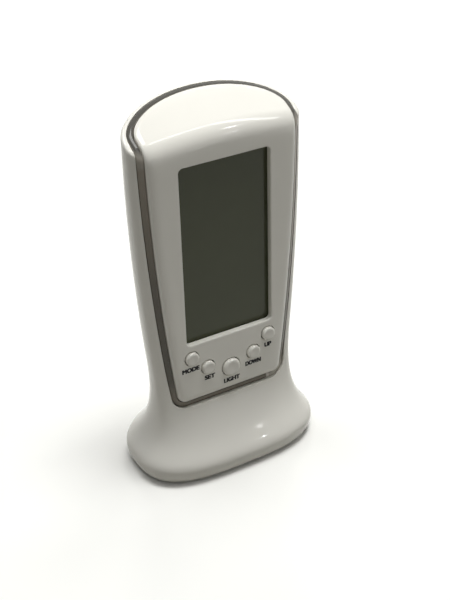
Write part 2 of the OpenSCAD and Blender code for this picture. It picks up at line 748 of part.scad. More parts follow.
zebra_t = 1.2;
zebra_gap = 0.25;
module zebra_strip() {
    thick = min(zebra_t, ledge_h - 2 * zebra_gap);
    middle = glass_high + ledge_h / 2 + zebra_gap - eps;
    color("#3a3a40") on_panel() plate(glass_d + plate_t, board_d)
        translate([0, middle]) square([glass_w - 2, thick], center = true);
}

module main_board() {
    top = glass_high + ledge_h + frame_wall;
    right = [
        [board_tip, board_low], [board_tip, board_taper - 1.5], [board_neck, board_taper + 1.5],
        [board_neck, board_spots[1][1] - 5], [board_half, board_spots[1][1] - 3],
        [board_half, board_shoulder - 1], [frame_half, board_shoulder], [frame_half, top]
    ];
    left = [for (i = [len(right) - 1:-1:0]) [-right[i][0], right[i][1]]];
    color("#2f6b45") on_panel() difference() {
        plate(board_d, board_back) polygon(concat(right, left));
        for (s = board_spots) post(s[0], s[1], 0, board_back + over, small_screw_d + hole_play);
    }
}

module board_screws() {
    color("silver") on_panel() for (s = board_spots) translate([s[0], board_back + small_head_t, s[1]])
        rotate([-90, 0, 0]) screw(small_screw_d, small_head_d, small_head_t, board_back - cover_wall - 2);
}

chip_z = tray_low + tray_h + chip_d / 2 + 3.5;
lead_d = 0.4;
lead_l = 2;
module lead_pair(d, length) {
    for (x = [-1, 1]) translate([x * d / 5, 0, -length]) cylinder(h = length + eps, d = lead_d, $fn = 16);
}
module clock_chip() {
    dome = 0.7;
    color("#161616") on_panel() translate([-frame_half * 0.45, board_back, chip_z]) rotate([-90, 0, 0]) {
        cylinder(h = dome, d = chip_d);
        translate([0, 0, dome]) cylinder(h = dome, d1 = chip_d, d2 = chip_d * 0.67);
    }
}

module quartz_crystal() {
    color("silver") on_panel() translate([frame_half * 0.4, board_back + crystal_d / 2, chip_z]) {
        cylinder(h = crystal_l, d = crystal_d);
        lead_pair(crystal_d, lead_l);
    }
}

module capacitor() {
    groove = cap_d / 20;
    color("#23324f") on_panel() translate([frame_half * 0.75, board_back + cap_d / 2, chip_z]) {
        difference() {
            cylinder(h = cap_l, d = cap_d);
            translate([0, 0, cap_l * 0.8]) rotate_extrude()
                translate([cap_d / 2, 0]) circle(groove, $fn = 24);
        }
        lead_pair(cap_d, lead_l);
    }
}

module thermistor() {
    color("#5b3a1e") on_panel() translate([-frame_half * 0.8, board_back + bead_d / 2, chip_z]) {
        sphere(d = bead_d);
        lead_pair(bead_d, 2 * lead_l);
    }
}

led_z = 0;
led_w = 3.2;
module backlight_leds() {
    color("#e9f2ff") on_panel() for (s = [-1, 1])
        translate([s * (glass_w / 2 + drop_in + 0.45), (backlight_d + board_d) / 2 + 0.15, led_z])
            cube([0.8, board_d - backlight_d - 0.3, led_w], center = true);
}

module tact_switches() {
    color("#2b2b2b") on_panel() for (b = button_spots) difference() {
        translate([b[0] - switch_w / 2, switch_d, b[1] - switch_w / 2])
            cube([switch_w, switch_h, switch_w]);
        post(b[0], b[1], 0, board_d - 0.3, stem_d + 0.7);
    }
}

// Push button: domed cap, two ears behind the cover and a stem into its switch
module button(spot) {
    d = spot[2];
    crown_r = d * 1.6;
    color(white_plastic) on_panel() translate([spot[0], 0, spot[1]]) {
        translate([0, ear_d + ear_t, 0]) rotate([90, 0, 0]) {
            intersection() {
                cylinder(h = ear_d + ear_t + button_rise, d = d);
                translate([0, 0, ear_d + ear_t + button_rise - crown_r]) sphere(crown_r, $fn = 96);
            }
            translate([-d / 2 - ear_reach, -ear_h / 2, 0]) cube([d + 2 * ear_reach, ear_h, ear_t]);
        }
        post(0, 0, ear_d + ear_t - eps, stem_tip, stem_d);
    }
}
module mode_button() { button(button_spots[0]); }
module set_button() { button(button_spots[1]); }
module light_button() { button(button_spots[2]); }
module down_button() { button(button_spots[3]); }
module up_button() { button(button_spots[4]); }

module buzzer() {
    color("#202020") on_panel() translate([0, buzzer_seat, buzzer_z]) rotate([-90, 0, 0]) difference() {
        cylinder(h = buzzer_t, d = buzzer_d);
        translate([0, 0, buzzer_t - 0.6]) cylinder(h = over, d = buzzer_d * 0.3);
    }
}

module battery_tray() {
    foot_x = tray_w / 2 - 3 * tray_wall;
    lug_low = hinge_z - lug_r - tray_wall;
    lug_front = lean_y(tray_z) + tray_back - 2 * tray_wall;
    lug_back = lean_y(lug_low) + shell_back(lug_x + lug_w / 2, lug_low) - shell_wall - tray_gap;
    neck_low = door_low - swing_gap + door_gap;
    wall_y = skin_at(hinge_z, shell_wall, 90)[1] - tray_gap;
    lug_end = hinge_y + hinge_in - shell_back(0, hinge_z) + shell_back(lug_x + lug_w / 2, hinge_z) - seam;
    color(white_plastic) {
        on_panel() difference() {
            translate([-tray_w / 2, tray_d, tray_low]) cube([tray_w, tray_back - tray_d, tray_h]);
            translate([-tray_in_w / 2, bay_d, tray_low + tray_wall]) cube([tray_in_w, over, tray_in_l]);
        }
        on_panel() for (x = [-foot_x, foot_x], z = [tray_low + 8, tray_low + tray_h - 4])
            post(x, z, board_back, tray_d + eps, 3);
        difference() {
            for (s = [-1, 1]) {
                translate([s * lug_x - lug_w / 2, lug_front, lug_low])
                    cube([lug_w, lug_back - lug_front, hinge_z + lug_r - lug_low]);
                translate([s * lug_x - lug_w / 2, lug_front, neck_low])
                    cube([lug_w, wall_y - lug_front, hinge_z + lug_r - neck_low]);
                along_x(s * lug_x, hinge_y, hinge_z, lug_w, lug_r);
            }
            along_x(0, hinge_y, hinge_z, over, pin_r + pin_play);
            translate([-over, lug_end, 0]) cube([2 * over, over, body_h]);
        }
    }
}

contact_w = 6;
contact_t = 0.4;
spring_wire = 0.6;
spring_turns = 2.5;
spring_r = [2.6, 1.6];
spring_h = spring_room - 2 * contact_t - 0.6;

// One conical spring standing on its contact plate, as a coil of round wire
module spring() {
    steps = 12 * spring_turns;
    sides = 6;
    loft([for (k = [0:steps])
        let (
            a = 30 * k,
            t = k / steps,
            r = mix(spring_r[0], spring_r[1], t),
            z = mix(spring_wire, spring_h, t) - spring_wire / 2
        )
        [for (j = [0:sides - 1]) let (b = -360 * j / sides, w = r + spring_wire / 2 * cos(b))
            [w * cos(a), w * sin(a), z + spring_wire / 2 * sin(b)]]]);
}

module battery_springs() {
    color("silver") on_panel() for (i = [0:cells - 1])
        translate([cell_x(i), cell_mid_d, tray_low + tray_wall + contact_t + 0.05]) spring();
}

module battery_contacts() {
    color("silver") on_panel() for (i = [0:cells - 1], z = [0, tray_in_l - contact_t])
        translate([cell_x(i) - contact_w / 2, cell_mid_d - contact_w / 2, tray_low + tray_wall + z])
            cube([contact_w, contact_w, contact_t]);
}

module battery_door() {
    grip_r = 7;
    grip_y = skin_at(door_high, 0, 90)[1] + grip_r - 0.8;
    color(white_plastic) {
        difference() {
            intersection() {
                back_wall();
                door_prism(0, 0);
            }
            for (s = [-1, 1]) translate([s * lug_x - notch_w / 2, 0, 0])
                cube([notch_w, foot_d, hinge_z + lug_r + door_gap]);
            along_x(0, grip_y, door_high - 4, door_w / 3, grip_r);
        }
        along_x(0, hinge_y, hinge_z, 2 * (lug_x + lug_w / 2), pin_r);
    }
}

// Insulated wire in a plane of constant x, along a curve through four points of the panel frame
module wire(x, p, d) {
    steps = 12;
    sides = 8;
    function at(t) =
        pow(1 - t, 3) * p[0] + 3 * pow(1 - t, 2) * t * p[1] + 3 * (1 - t) * t * t * p[2] + t * t * t * p[3];
    function along(t) = let (v = at(min(1, t + eps)) - at(max(0, t - eps))) v / norm(v);
    loft([for (k = [0:steps])
        let (c = at(k / steps), u = along(k / steps))
        [for (j = [0:sides - 1]) let (a = -360 * j / sides)
            [x + d / 2 * cos(a), c[0] - d / 2 * sin(a) * u[1], c[1] + d / 2 * sin(a) * u[0]]]]);
}

wire_d = 1.2;
wire_end = 0.05;
wire_bend = 4;
module battery_leads() {
    low = tray_low + tray_h;
    high = low + 2.5 * wire_d;
    color("firebrick") on_panel() for (x = [-tray_in_w / 3, tray_in_w / 3])
        wire(x, [
            [cell_mid_d, low + wire_end], [cell_mid_d, high],
            [board_back + wire_bend, high], [board_back + wire_end, high]
        ], wire_d);
}

module buzzer_leads() {
    low = buzzer_z - buzzer_d / 4;
    high = low + wire_bend;
    color("#303030") on_panel() for (x = [-1.5, 1.5])
        wire(x, [
            [buzzer_seat - wire_end, low], [buzzer_seat - wire_bend, low],
            [board_back + wire_bend, high], [board_back + wire_end, high]
        ], wire_d);
}

front_cover();
light_guide();
rear_shell();
base_plate();
rubber_feet();
base_screws();
case_screws();
window_gasket();
lcd_polariser();
lcd_glass();
backlight_panel();
reflector_sheet();
lcd_frame();
zebra_strip();
main_board();
board_screws();
clock_chip();
quartz_crystal();
capacitor();
thermistor();
backlight_leds();
tact_switches();
mode_button();
set_button();
light_button();
down_button();
up_button();
buzzer();
battery_tray();
battery_springs();
battery_contacts();
battery_door();
battery_leads();
buzzer_leads();
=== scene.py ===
"""Upright digital clock: finer skins, finishes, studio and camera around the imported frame."""
import json
import math

import bmesh
import bpy
import numpy as np
from mathutils import Matrix, Vector


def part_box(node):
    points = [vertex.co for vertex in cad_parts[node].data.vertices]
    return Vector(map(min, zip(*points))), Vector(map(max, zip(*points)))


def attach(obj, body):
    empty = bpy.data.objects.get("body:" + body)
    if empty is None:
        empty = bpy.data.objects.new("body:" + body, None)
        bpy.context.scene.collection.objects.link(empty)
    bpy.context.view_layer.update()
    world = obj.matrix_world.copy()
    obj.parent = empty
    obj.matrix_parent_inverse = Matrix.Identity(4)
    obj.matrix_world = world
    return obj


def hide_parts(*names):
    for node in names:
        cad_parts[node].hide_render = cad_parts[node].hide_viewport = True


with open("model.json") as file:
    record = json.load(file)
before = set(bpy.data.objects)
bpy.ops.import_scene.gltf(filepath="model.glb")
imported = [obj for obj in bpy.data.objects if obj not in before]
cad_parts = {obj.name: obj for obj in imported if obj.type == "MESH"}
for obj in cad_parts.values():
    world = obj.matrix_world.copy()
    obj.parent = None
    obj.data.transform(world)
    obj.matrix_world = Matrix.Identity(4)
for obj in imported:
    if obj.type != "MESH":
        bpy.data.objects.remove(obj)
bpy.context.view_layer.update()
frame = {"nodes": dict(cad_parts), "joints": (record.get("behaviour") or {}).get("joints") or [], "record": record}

# Sizes are in millimetres and angles in radians, and a mesh is in metres
MM = 0.001
QUARTER = math.pi / 2
FULL = 2 * math.pi
ROUND_STEPS = 64

# Points closer than this, in metres, are merged
MERGE = 1e-7
POLE_MERGE = 1e-6


def solid_box(node):
    """Lowest and highest corner of a solid, in millimetres."""
    low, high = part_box(node)
    return np.array(low) / MM, np.array(high) / MM


def mix(a, b, t):
    return a + (b - a) * t


def turns(count):
    """Evenly spaced angles once round."""
    return FULL * np.arange(count) / count


joints = {joint["name"]: joint for joint in frame["joints"]}
shell_low, shell_high = solid_box("rear_shell")
door_low, door_high = solid_box("battery_door")
base_high = solid_box("base_plate")[1]

# Column: its outline is squarer in front than at the back, and its sides and back bow out
BODY_H = shell_high[2]
HEAD_W = 62.5
WAIST_W = 55.7
SIDE_BOW = 1.0
HEAD_D = 22.3
WIDEST_D = 7.3
FRONT_SET = 2.4
SET_SOFTNESS = 0.6
FRONT_SQUARE = 3.0
BACK_SQUARE = 2.1
BOW_Z = 15.0
LEAN = math.asin(-joints["light_press"]["axis"][2])
SHELL_WALL = 1.8
SHELL_LIP = 0.6
SEAM = 0.12

# Foot: a rounded rim and a flare; shoulder and hollow are the handles of the flare's curve at rim and neck
FOOT_W, FOOT_D = (shell_high - shell_low)[:2]
FOOT_GAP = shell_low[2]
FOOT_FRONT_SQUARE = 3.0
FOOT_BACK_SQUARE = 2.2
RIM_H = 6.0
RIM_ROUND = 2.5
NECK_Z = 45.0
SHOULDER = 6.0
HOLLOW = 32.0

# Front cover: a panel that bends over into a crowned roof, with a rolled edge
PANEL_SET = 7.2
COVER_WALL = 2.0
ROOF_SLOPE = 0.45
ROOF_CROWN = 2.4
BEND_R = 7.0
EDGE_ROLL = 1.7
ROLL_W = 3.0

# Light strip in the mouth of the shell, lapped by the cover's edge
STRIP_W = 2.3
COVER_LAP = 0.3
SHOWN_W = STRIP_W - COVER_LAP
STRIP_T = 3.5
STRIP_DRAFT = 0.5
RIM_W = 1.8
LOW_MARGIN = 3.6
MOUTH_Z = 26.2
MOUTH_R = 5.5
LOW_DROP = 1.4
ROOF_DROP = 1.4

# Lines that the column, the roof and the strip share
ROOF_BACK = HEAD_D - RIM_W
ROOF_HALF = HEAD_W / 2 - RIM_W - SEAM
FOLD_Z = BODY_H - ROOF_SLOPE * ROOF_BACK
ROOF_TURN = math.atan2(1, ROOF_SLOPE)
BEND_Z = FOLD_Z + ROOF_DROP * math.hypot(1, ROOF_SLOPE) - BEND_R * math.tan(ROOF_TURN / 2)
BEND_L = BEND_R * ROOF_TURN

# Window
WINDOW_W = 33.5
WINDOW_R = 1.6
WINDOW_FILLET = 0.5
WINDOW_DROP = 7.575
WINDOW_RISE = 25.4
WINDOW_TOP = FOLD_Z - WINDOW_DROP
WINDOW_LOW = MOUTH_Z + WINDOW_RISE
WINDOW_H = WINDOW_TOP - WINDOW_LOW
WINDOW_Z = (WINDOW_TOP + WINDOW_LOW) / 2
GASKET_T = 0.3

# Place of the panel: x sideways, y up along it and z out of it, from the window's middle
PANEL = Matrix.Translation(Vector((0, -PANEL_SET, WINDOW_Z)) * MM) @ Matrix.Rotation(QUARTER - LEAN, 4, "X")


def panel_spot(point):
    """Sideways place, height and depth on the panel of a point in metres."""
    spot = PANEL.inverted() @ Vector(point) / MM
    return spot.x, spot.y, -spot.z


# Buttons
BUTTON_RISE = 1.2
BUTTON_GAP = 0.3
HOLE_FILLET = 0.2
EAR_REACH = 0.8
EAR_H = 2.0
EAR_T = 1.0
EAR_GAP = 0.3
EAR_D = COVER_WALL + EAR_GAP
STEM_D = 2.2
STEM_TIP = 5.75
CAP_ROUND = 0.15
CAP_DISH = 0.02


def button_spots():
    """Sideways place, height on the panel and diameter of each button, by its name."""
    spots = {}
    for joint in frame["joints"]:
        if joint["type"] == "slide":
            x, h, _ = panel_spot(joint["pos_m"])
            low, high = solid_box(joint["child"])
            spots[joint["child"]] = (x, h, high[0] - low[0] - 2 * EAR_REACH)
    return spots


BUTTONS = button_spots()

# Board and case screws, and their bosses on the cover and posts on the shell
BOSS_WALL = 1.3
SCREW_PLAY = 0.1
HOLE_PLAY = 0.3
CASE_SCREW_D = 2.6
CASE_HEAD_D = CASE_SCREW_D * 1.8
CASE_BOSS_D = CASE_SCREW_D + 2 * BOSS_WALL
SMALL_SCREW_D = 2.0
SMALL_BOSS_D = SMALL_SCREW_D + 2 * BOSS_WALL
BOARD_D = 7.25
BOARD_T = 1.2
BOARD_ROOM = 1.4
POST_FLOOR = 4.0
CASE_SPLIT = BOARD_D + BOARD_T + BOARD_ROOM
HEAD_SEAT = CASE_SPLIT + POST_FLOOR
ROOT_LAP = 0.5
BORE_FLOOR = 1.0
FRAME_HALF = solid_box("lcd_frame")[1][0]
BOARD_BOSS_GAP = 0.15
CASE_BOSS_GAP = 0.4
BOARD_SCREW_X = FRAME_HALF + SMALL_BOSS_D / 2 + BOARD_BOSS_GAP
BOARD_SCREW_H = (WINDOW_H * 0.15, -WINDOW_H * 0.32)
CASE_SCREW_X = FRAME_HALF + CASE_BOSS_D / 2 + CASE_BOSS_GAP
CORNER_RISE = CASE_BOSS_D * 1.15
CORNER_SIDE = CASE_BOSS_D * 0.75

# Battery door and its hinge
DOOR_W = door_high[0] - door_low[0]
DOOR_LOW = door_low[2]
DOOR_HIGH = door_high[2]
DOOR_R = 2.0
DOOR_GAP = 0.35
DOOR_SPAN = math.radians(62)
HINGE_IN = 1.0
HINGE_Y, HINGE_Z = np.array(joints["door_tilt"]["pos_m"][1:]) / MM
SWING_GAP = HINGE_IN * (math.sqrt(2) - 1) + DOOR_GAP
PIN_R = 0.8
LUG_W = 2.0
LUG_WALL = 0.65
LUG_R = PIN_R + LUG_WALL
TAB_HALF = 4.9
LUG_X = TAB_HALF + DOOR_GAP + LUG_W / 2
SCOOP_R = 7.0
SCOOP_W = DOOR_W / 3
SCOOP_DEPTH = 0.8
SCOOP_DROP = 4.0
SCOOP_Z = DOOR_HIGH - SCOOP_DROP
SCOOP_STEPS = 96
RIBS = 4
RIB_RISE = 0.45
RIB_REACH = SCOOP_W * 0.42
RIB_SPREAD = math.radians(36)
RIB_SEGMENTS = 24
RIB_RINGS = 16

# Buzzer behind its sound holes
buzzer_low, buzzer_high = solid_box("buzzer")
BUZZER_D = buzzer_high[0] - buzzer_low[0]
BUZZER_T = 3.5
BUZZER_PLAY = 0.2
BUZZER_ROOM = BUZZER_D + BUZZER_PLAY
BUZZER_WALL = 1.2
_, BUZZER_H, BUZZER_MID = panel_spot((buzzer_low + buzzer_high) / 2 * MM)
SOUND_D = 1.6
SOUND_RING = 4.0
SOUND_HOLES = 6

# Screws under the base plate, and the lid that closes their bores
BASE_REACH = np.array([FOOT_W * 0.345, FOOT_D * 0.295])
BASE_SCREWS = 4
BASE_LID = 1.6

# Cutters reach this far past what they cut, and posts stop this far inside the shell's skin
OVER = 30.0
CORE_INSET = SHELL_WALL * 0.4


# Shape of the case, as functions of height, angle and place on the cover's sheet

FLARE_STEPS = np.linspace(0, 1, 400)


def signed_power(v, p):
    """Power of a value's size, with the value's sign."""
    return np.sign(v) * np.abs(v) ** p


def rise(z):
    """Share of the way from the neck up to the fold."""
    return (z - NECK_Z) / (FOLD_Z - NECK_Z)


def bow(t):
    """Parabola that is 0 at both ends and 1 halfway."""
    return 4 * t * (1 - t)


def half_w(z):
    """Half width of the column at a height."""
    return mix(WAIST_W, HEAD_W, rise(z)) / 2 + SIDE_BOW * bow(rise(z))


def lean_y(z):
    """Place of the leaning panel plane at a height."""
    return (z - WINDOW_Z) * math.tan(LEAN) - PANEL_SET


def flare_z(t):
    """Height along the flare, from the foot's rim at 0 to the neck at 1."""
    return (RIM_H * (1 - t) ** 3 + 3 * (RIM_H + SHOULDER) * (1 - t) ** 2 * t
            + 3 * (NECK_Z - HOLLOW) * (1 - t) * t ** 2 + NECK_Z * t ** 3)


def flare_share(t):
    """Share that the foot's outline has along the flare."""
    return 1 - t ** 2 * (3 - 2 * t)


def share_at(z):
    """Share of the foot's outline at a height."""
    return np.interp(z, flare_z(FLARE_STEPS), flare_share(FLARE_STEPS))


def bow_share(z):
    """Share of the back's bow at a height, which is whole halfway up."""
    return bow(np.clip((z - BOW_Z) / (FOLD_Z - BOW_Z), 0, 1))


def back_bow():
    """Bow of the back that puts its skin just outside the hinge pins."""
    share = share_at(HINGE_Z)
    column_y = (HINGE_Y + HINGE_IN - share * FOOT_D / 2) / (1 - share)
    return (column_y - lean_y(HINGE_Z) - HEAD_D) / bow_share(HINGE_Z)


BACK_BOW = back_bow()


def back_d(z):
    """Depth of the back behind the column's widest line."""
    return HEAD_D - WIDEST_D + BACK_BOW * bow_share(z)


def set_back(d):
    """Depth behind the panel, kept softly behind the shell's own front face."""
    return (d + FRONT_SET + np.sqrt((d - FRONT_SET) ** 2 + SET_SOFTNESS)) / 2


def skin(z, share, shrink, inset, angle):
    """Points of the shell's skin; share is the foot's part of the outline, shrink rounds its rim in."""
    given = (z, share, shrink, inset, angle)
    z, share, shrink, inset, angle = np.broadcast_arrays(*(np.asarray(a, float) for a in given))
    c = np.cos(angle)
    s = np.sin(angle)
    front = s < 0
    square = np.where(front, FRONT_SQUARE, BACK_SQUARE)
    foot_square = np.where(front, FOOT_FRONT_SQUARE, FOOT_BACK_SQUARE)
    depth = np.where(front, WIDEST_D, back_d(z))
    d = WIDEST_D + depth * signed_power(s, 2 / square)
    d = np.where(front, set_back(d), d)
    room = np.where(front, WIDEST_D - FRONT_SET, depth)
    x = (half_w(z) - inset) * signed_power(c, 2 / square)
    y = lean_y(z) + WIDEST_D + (d - WIDEST_D) * (room - inset) / room
    foot_x = (FOOT_W / 2 - shrink - inset) * signed_power(c, 2 / foot_square)
    foot_y = (FOOT_D / 2 - shrink - inset) * signed_power(s, 2 / foot_square)
    return np.stack([mix(x, foot_x, share), mix(y, foot_y, share), z], axis=-1)


def crown(x):
    """How far the roof has dropped beside the middle plane."""
    return ROOF_CROWN * (x / (HEAD_W / 2)) ** 2


def roof_edge_z(x, d):
    """Height of the roof's edge at a sideways place and a depth."""
    return BODY_H - ROOF_SLOPE * (ROOF_BACK - d) - crown(x)


def sheet(u, q, drop, behind=0.0):
    """Points of the cover's sheet: u runs across it, q up the panel and over the bend along the roof.

    They are lowered by drop along the sheet's normal, and then set behind it by a wall's depth.
    """
    along = q + crown(u)
    turn = np.clip((along - BEND_Z) / BEND_R, 0, ROOF_TURN)
    on_roof = np.maximum(0, along - BEND_Z - BEND_L)
    d = BEND_R * (1 - np.cos(turn)) + on_roof * math.sin(ROOF_TURN) + drop * np.cos(turn)
    z = (np.minimum(along, BEND_Z) + BEND_R * np.sin(turn) + on_roof * math.cos(ROOF_TURN)
         - crown(u) - drop * np.sin(turn))
    down = turn * QUARTER / ROOF_TURN
    return np.stack([u + 0 * z, lean_y(z) + d + behind * np.cos(down), z - behind * np.sin(down)], axis=-1)


def sheet_q(u, d):
    """Place along the sheet at a depth behind the panel."""
    bend_d = BEND_R * (1 - math.cos(ROOF_TURN))
    on_bend = BEND_Z + BEND_R * np.arccos(np.clip(1 - d / BEND_R, -1, 1))
    on_roof = BEND_Z + BEND_L + (d - bend_d) / math.sin(ROOF_TURN)
    return np.where(d < bend_d, on_bend, on_roof) - crown(u)


def roof_share(u, q):
    """Share of the way over the bend, from the panel to the roof."""
    return np.clip((q + crown(u) - BEND_Z) / BEND_L, 0, 1)


def mouth_half(z):
    """Half width of the opening that holds the strip and the cover."""
    return half_w(z) - mix(LOW_MARGIN, RIM_W, np.clip((z - MOUTH_Z) / (FOLD_Z - MOUTH_Z), 0, 1))


def mouth_skin_d(z):
    """Depth of the shell's skin at the side of that opening."""
    k = (mouth_half(z) / half_w(z)) ** FRONT_SQUARE
    return set_back(WIDEST_D * (1 - (1 - k) ** (1 / FRONT_SQUARE)))


MOUTH_TOP = MOUTH_Z + MOUTH_R
BOTTOM_STEPS = 8
CORNER_STEPS = 16
SIDE_STEPS = 36
BEND_STEPS = 18
ROOF_STEPS = 40


def strip_edge():
    """Outer edge of the strip once round, as rows of u, q and drop, and the length of its right half."""
    corner_x = mouth_half(MOUTH_TOP) - SEAM - MOUTH_R
    side_top = BEND_Z - crown(ROOF_HALF)
    set_in = ROOF_DROP * math.cos(ROOF_TURN)
    rows = [(corner_x * t, MOUTH_Z + SEAM, LOW_DROP) for t in np.arange(BOTTOM_STEPS) / BOTTOM_STEPS]
    for t in np.arange(CORNER_STEPS) / CORNER_STEPS:
        u = corner_x + MOUTH_R * math.sin(QUARTER * t)
        q = MOUTH_TOP + SEAM - MOUTH_R * math.cos(QUARTER * t)
        rows.append((u, q, mix(LOW_DROP, mouth_skin_d(MOUTH_TOP), t)))
    for z in np.linspace(MOUTH_TOP + SEAM, side_top, SIDE_STEPS):
        rows.append((mouth_half(z) - SEAM, z, mouth_skin_d(z)))
    for t in np.linspace(0, 1, BEND_STEPS + 1)[1:]:
        q = sheet_q(ROOF_HALF, (WIDEST_D - set_in) * t)
        rows.append((ROOF_HALF, q, mix(mouth_skin_d(side_top), ROOF_DROP, roof_share(ROOF_HALF, q))))
    for a in np.linspace(0, QUARTER, ROOF_STEPS + 1)[1:]:
        u = ROOF_HALF * max(0.0, math.cos(a)) ** (2 / BACK_SQUARE)
        d = mix(WIDEST_D, ROOF_BACK - SEAM, math.sin(a) ** (2 / BACK_SQUARE))
        rows.append((u, sheet_q(u, d - set_in), ROOF_DROP))
    right = np.array(rows, float)
    left = right[-2:0:-1] * [-1, 1, 1]
    return np.vstack([right, left]), len(right)


EDGE, EDGE_HALF = strip_edge()
OUTER_DROP = EDGE[:, 2]
INNER_DROP = mix(EDGE_ROLL, EDGE_ROLL / 2, roof_share(EDGE[:, 0], EDGE[:, 1]))


def moved_in(by):
    """The strip's outer edge moved inwards on the sheet, as rows of u and q."""
    line = EDGE[:, :2]
    run = np.roll(line, -1, 0) - np.roll(line, 1, 0)
    inward = np.stack([-run[:, 1], run[:, 0]], 1) / np.linalg.norm(run, axis=1)[:, None]
    return line + inward * by


# Meshes and node trees

def mesh_object(name, points, faces):
    """New object of points in millimetres and the faces between them."""
    mesh = bpy.data.meshes.new(name)
    mesh.from_pydata((np.asarray(points) * MM).tolist(), [], [[int(i) for i in face] for face in faces])
    return linked(name, mesh)


def linked(name, data):
    made = bpy.data.objects.new(name, data)
    bpy.context.scene.collection.objects.link(made)
    return made


def outward(piece):
    """The piece with its doubles merged and its faces pointing outwards."""
    work = bmesh.new()
    work.from_mesh(piece.data)
    bmesh.ops.remove_doubles(work, verts=work.verts, dist=MERGE)
    bmesh.ops.recalc_face_normals(work, faces=work.faces)
    work.to_mesh(piece.data)
    work.free()
    return piece


def grid_faces(rows, columns, looped_rows=False, looped_columns=False):
    """Faces of a grid of points, whose rows and columns may join end to end."""
    faces = []
    for i in range(rows if looped_rows else rows - 1):
        k = (i + 1) % rows
        for j in range(columns if looped_columns else columns - 1):
            m = (j + 1) % columns
            faces.append((i * columns + j, k * columns + j, k * columns + m, i * columns + m))
    return faces


def capped(name, loops):
    """Closed solid through a row of loops, with a face over its first and its last loop."""
    loops = np.asarray(loops, float)
    n, m = loops.shape[:2]
    faces = grid_faces(n, m, looped_columns=True) + [range(m), range((n - 1) * m, n * m)]
    return outward(mesh_object(name, loops.reshape(-1, 3), faces))


def looped(name, loops):
    """Closed ring through a row of loops whose last joins its first."""
    loops = np.asarray(loops, float)
    faces = grid_faces(*loops.shape[:2], looped_rows=True, looped_columns=True)
    return outward(mesh_object(name, loops.reshape(-1, 3), faces))


def prism(name, outline, near, far):
    """Solid of an x, z outline between two places along Y."""
    return capped(name, [[(x, y, z) for x, z in outline] for y in (near, far)])


def cross_rod(name, y, z, length, radius):
    """Round rod along X, centred on the middle plane."""
    circle = [(y + radius * math.cos(a), z + radius * math.sin(a)) for a in turns(SCOOP_STEPS)]
    return capped(name, [[(end * length / 2, *spot) for spot in circle] for end in (-1, 1)])


def rounded_outline(w, h, r, middle=0.0, steps=10):
    """Outline of a rounded rectangle, centred sideways and at a height."""
    points = []
    for k, (right, up) in enumerate(((1, -1), (1, 1), (-1, 1), (-1, -1))):
        for a in QUARTER * (k - 1 + np.arange(steps + 1) / steps):
            x = right * (w / 2 - r) + r * math.cos(a)
            z = middle + up * (h / 2 - r) + r * math.sin(a)
            points.append((x, z))
    return points


def applied(piece):
    """The piece with its modifiers made into a plain mesh."""
    bpy.context.view_layer.update()
    graph = bpy.context.evaluated_depsgraph_get()
    made = bpy.data.meshes.new_from_object(piece.evaluated_get(graph))
    piece.modifiers.clear()
    piece.data = made
    return piece


def boolean(piece, other, operation):
    """The piece cut by or joined with another object, which is used up."""
    change = piece.modifiers.new("shape", "BOOLEAN")
    change.operation = operation
    change.solver = "EXACT"
    change.object = other
    applied(piece)
    bpy.data.objects.remove(other, do_unlink=True)
    return piece


def joined(name, parts):
    """One object of several, which are used up."""
    work = bmesh.new()
    for part in parts:
        work.from_mesh(part.data)
        bpy.data.objects.remove(part, do_unlink=True)
    mesh = bpy.data.meshes.new(name)
    work.to_mesh(mesh)
    work.free()
    return linked(name, mesh)


def fill(tree, node, sockets):
    """Gives each named socket of a node a link or a fixed value."""
    for name, value in sockets.items():
        if isinstance(value, bpy.types.NodeSocket):
            tree.links.new(value, node.inputs[name])
        else:
            node.inputs[name].default_value = value


def add(tree, kind, sockets, **settings):
    """New node with its settings made and its sockets filled; gives its outputs."""
    made = tree.nodes.new(kind)
    for name, value in settings.items():
        setattr(made, name, value)
    fill(tree, made, sockets)
    return made.outputs


def product(tree, first, second):
    return add(tree, "ShaderNodeMath", {0: first, 1: second}, operation="MULTIPLY")["Value"]


def seen_share(tree):
    """1 for rays that show a surface to the eye, straight or by gloss or through glass, else 0."""
    path = add(tree, "ShaderNodeLightPath", {})
    mirrored = {0: path["Is Glossy Ray"], 1: path["Is Transmission Ray"]}
    mirrored_share = add(tree, "ShaderNodeMath", mirrored, operation="MAXIMUM")["Value"]
    shown = {0: path["Is Camera Ray"], 1: mirrored_share}
    return add(tree, "ShaderNodeMath", shown, operation="MAXIMUM")["Value"]


def new_tree(name, sizes):
    """Geometry tree with named inputs; gives the tree and the sockets of those inputs."""
    tree = bpy.data.node_groups.new(name, "GeometryNodeTree")
    for label, kind in {"Geometry": "Geometry", **sizes, "Material": "Material"}.items():
        tree.interface.new_socket(label, in_out="INPUT", socket_type="NodeSocket" + kind)
    tree.interface.new_socket("Geometry", in_out="OUTPUT", socket_type="NodeSocketGeometry")
    return tree, add(tree, "NodeGroupInput", {})


def end_tree(tree, geometry, material):
    """Makes instances real, sets the material and closes a geometry tree."""
    real = add(tree, "GeometryNodeRealizeInstances", {"Geometry": geometry})["Geometry"]
    dressed = add(tree, "GeometryNodeSetMaterial", {"Geometry": real, "Material": material})["Geometry"]
    add(tree, "NodeGroupOutput", {"Geometry": dressed})
    return tree


def grown(seed, tree, values):
    """Plain mesh that a geometry tree makes from a seed object and its named values."""
    change = seed.modifiers.new("tree", "NODES")
    change.node_group = tree
    for item in tree.interface.items_tree:
        if item.name in values:
            change[item.identifier] = values[item.name]
    return applied(seed)


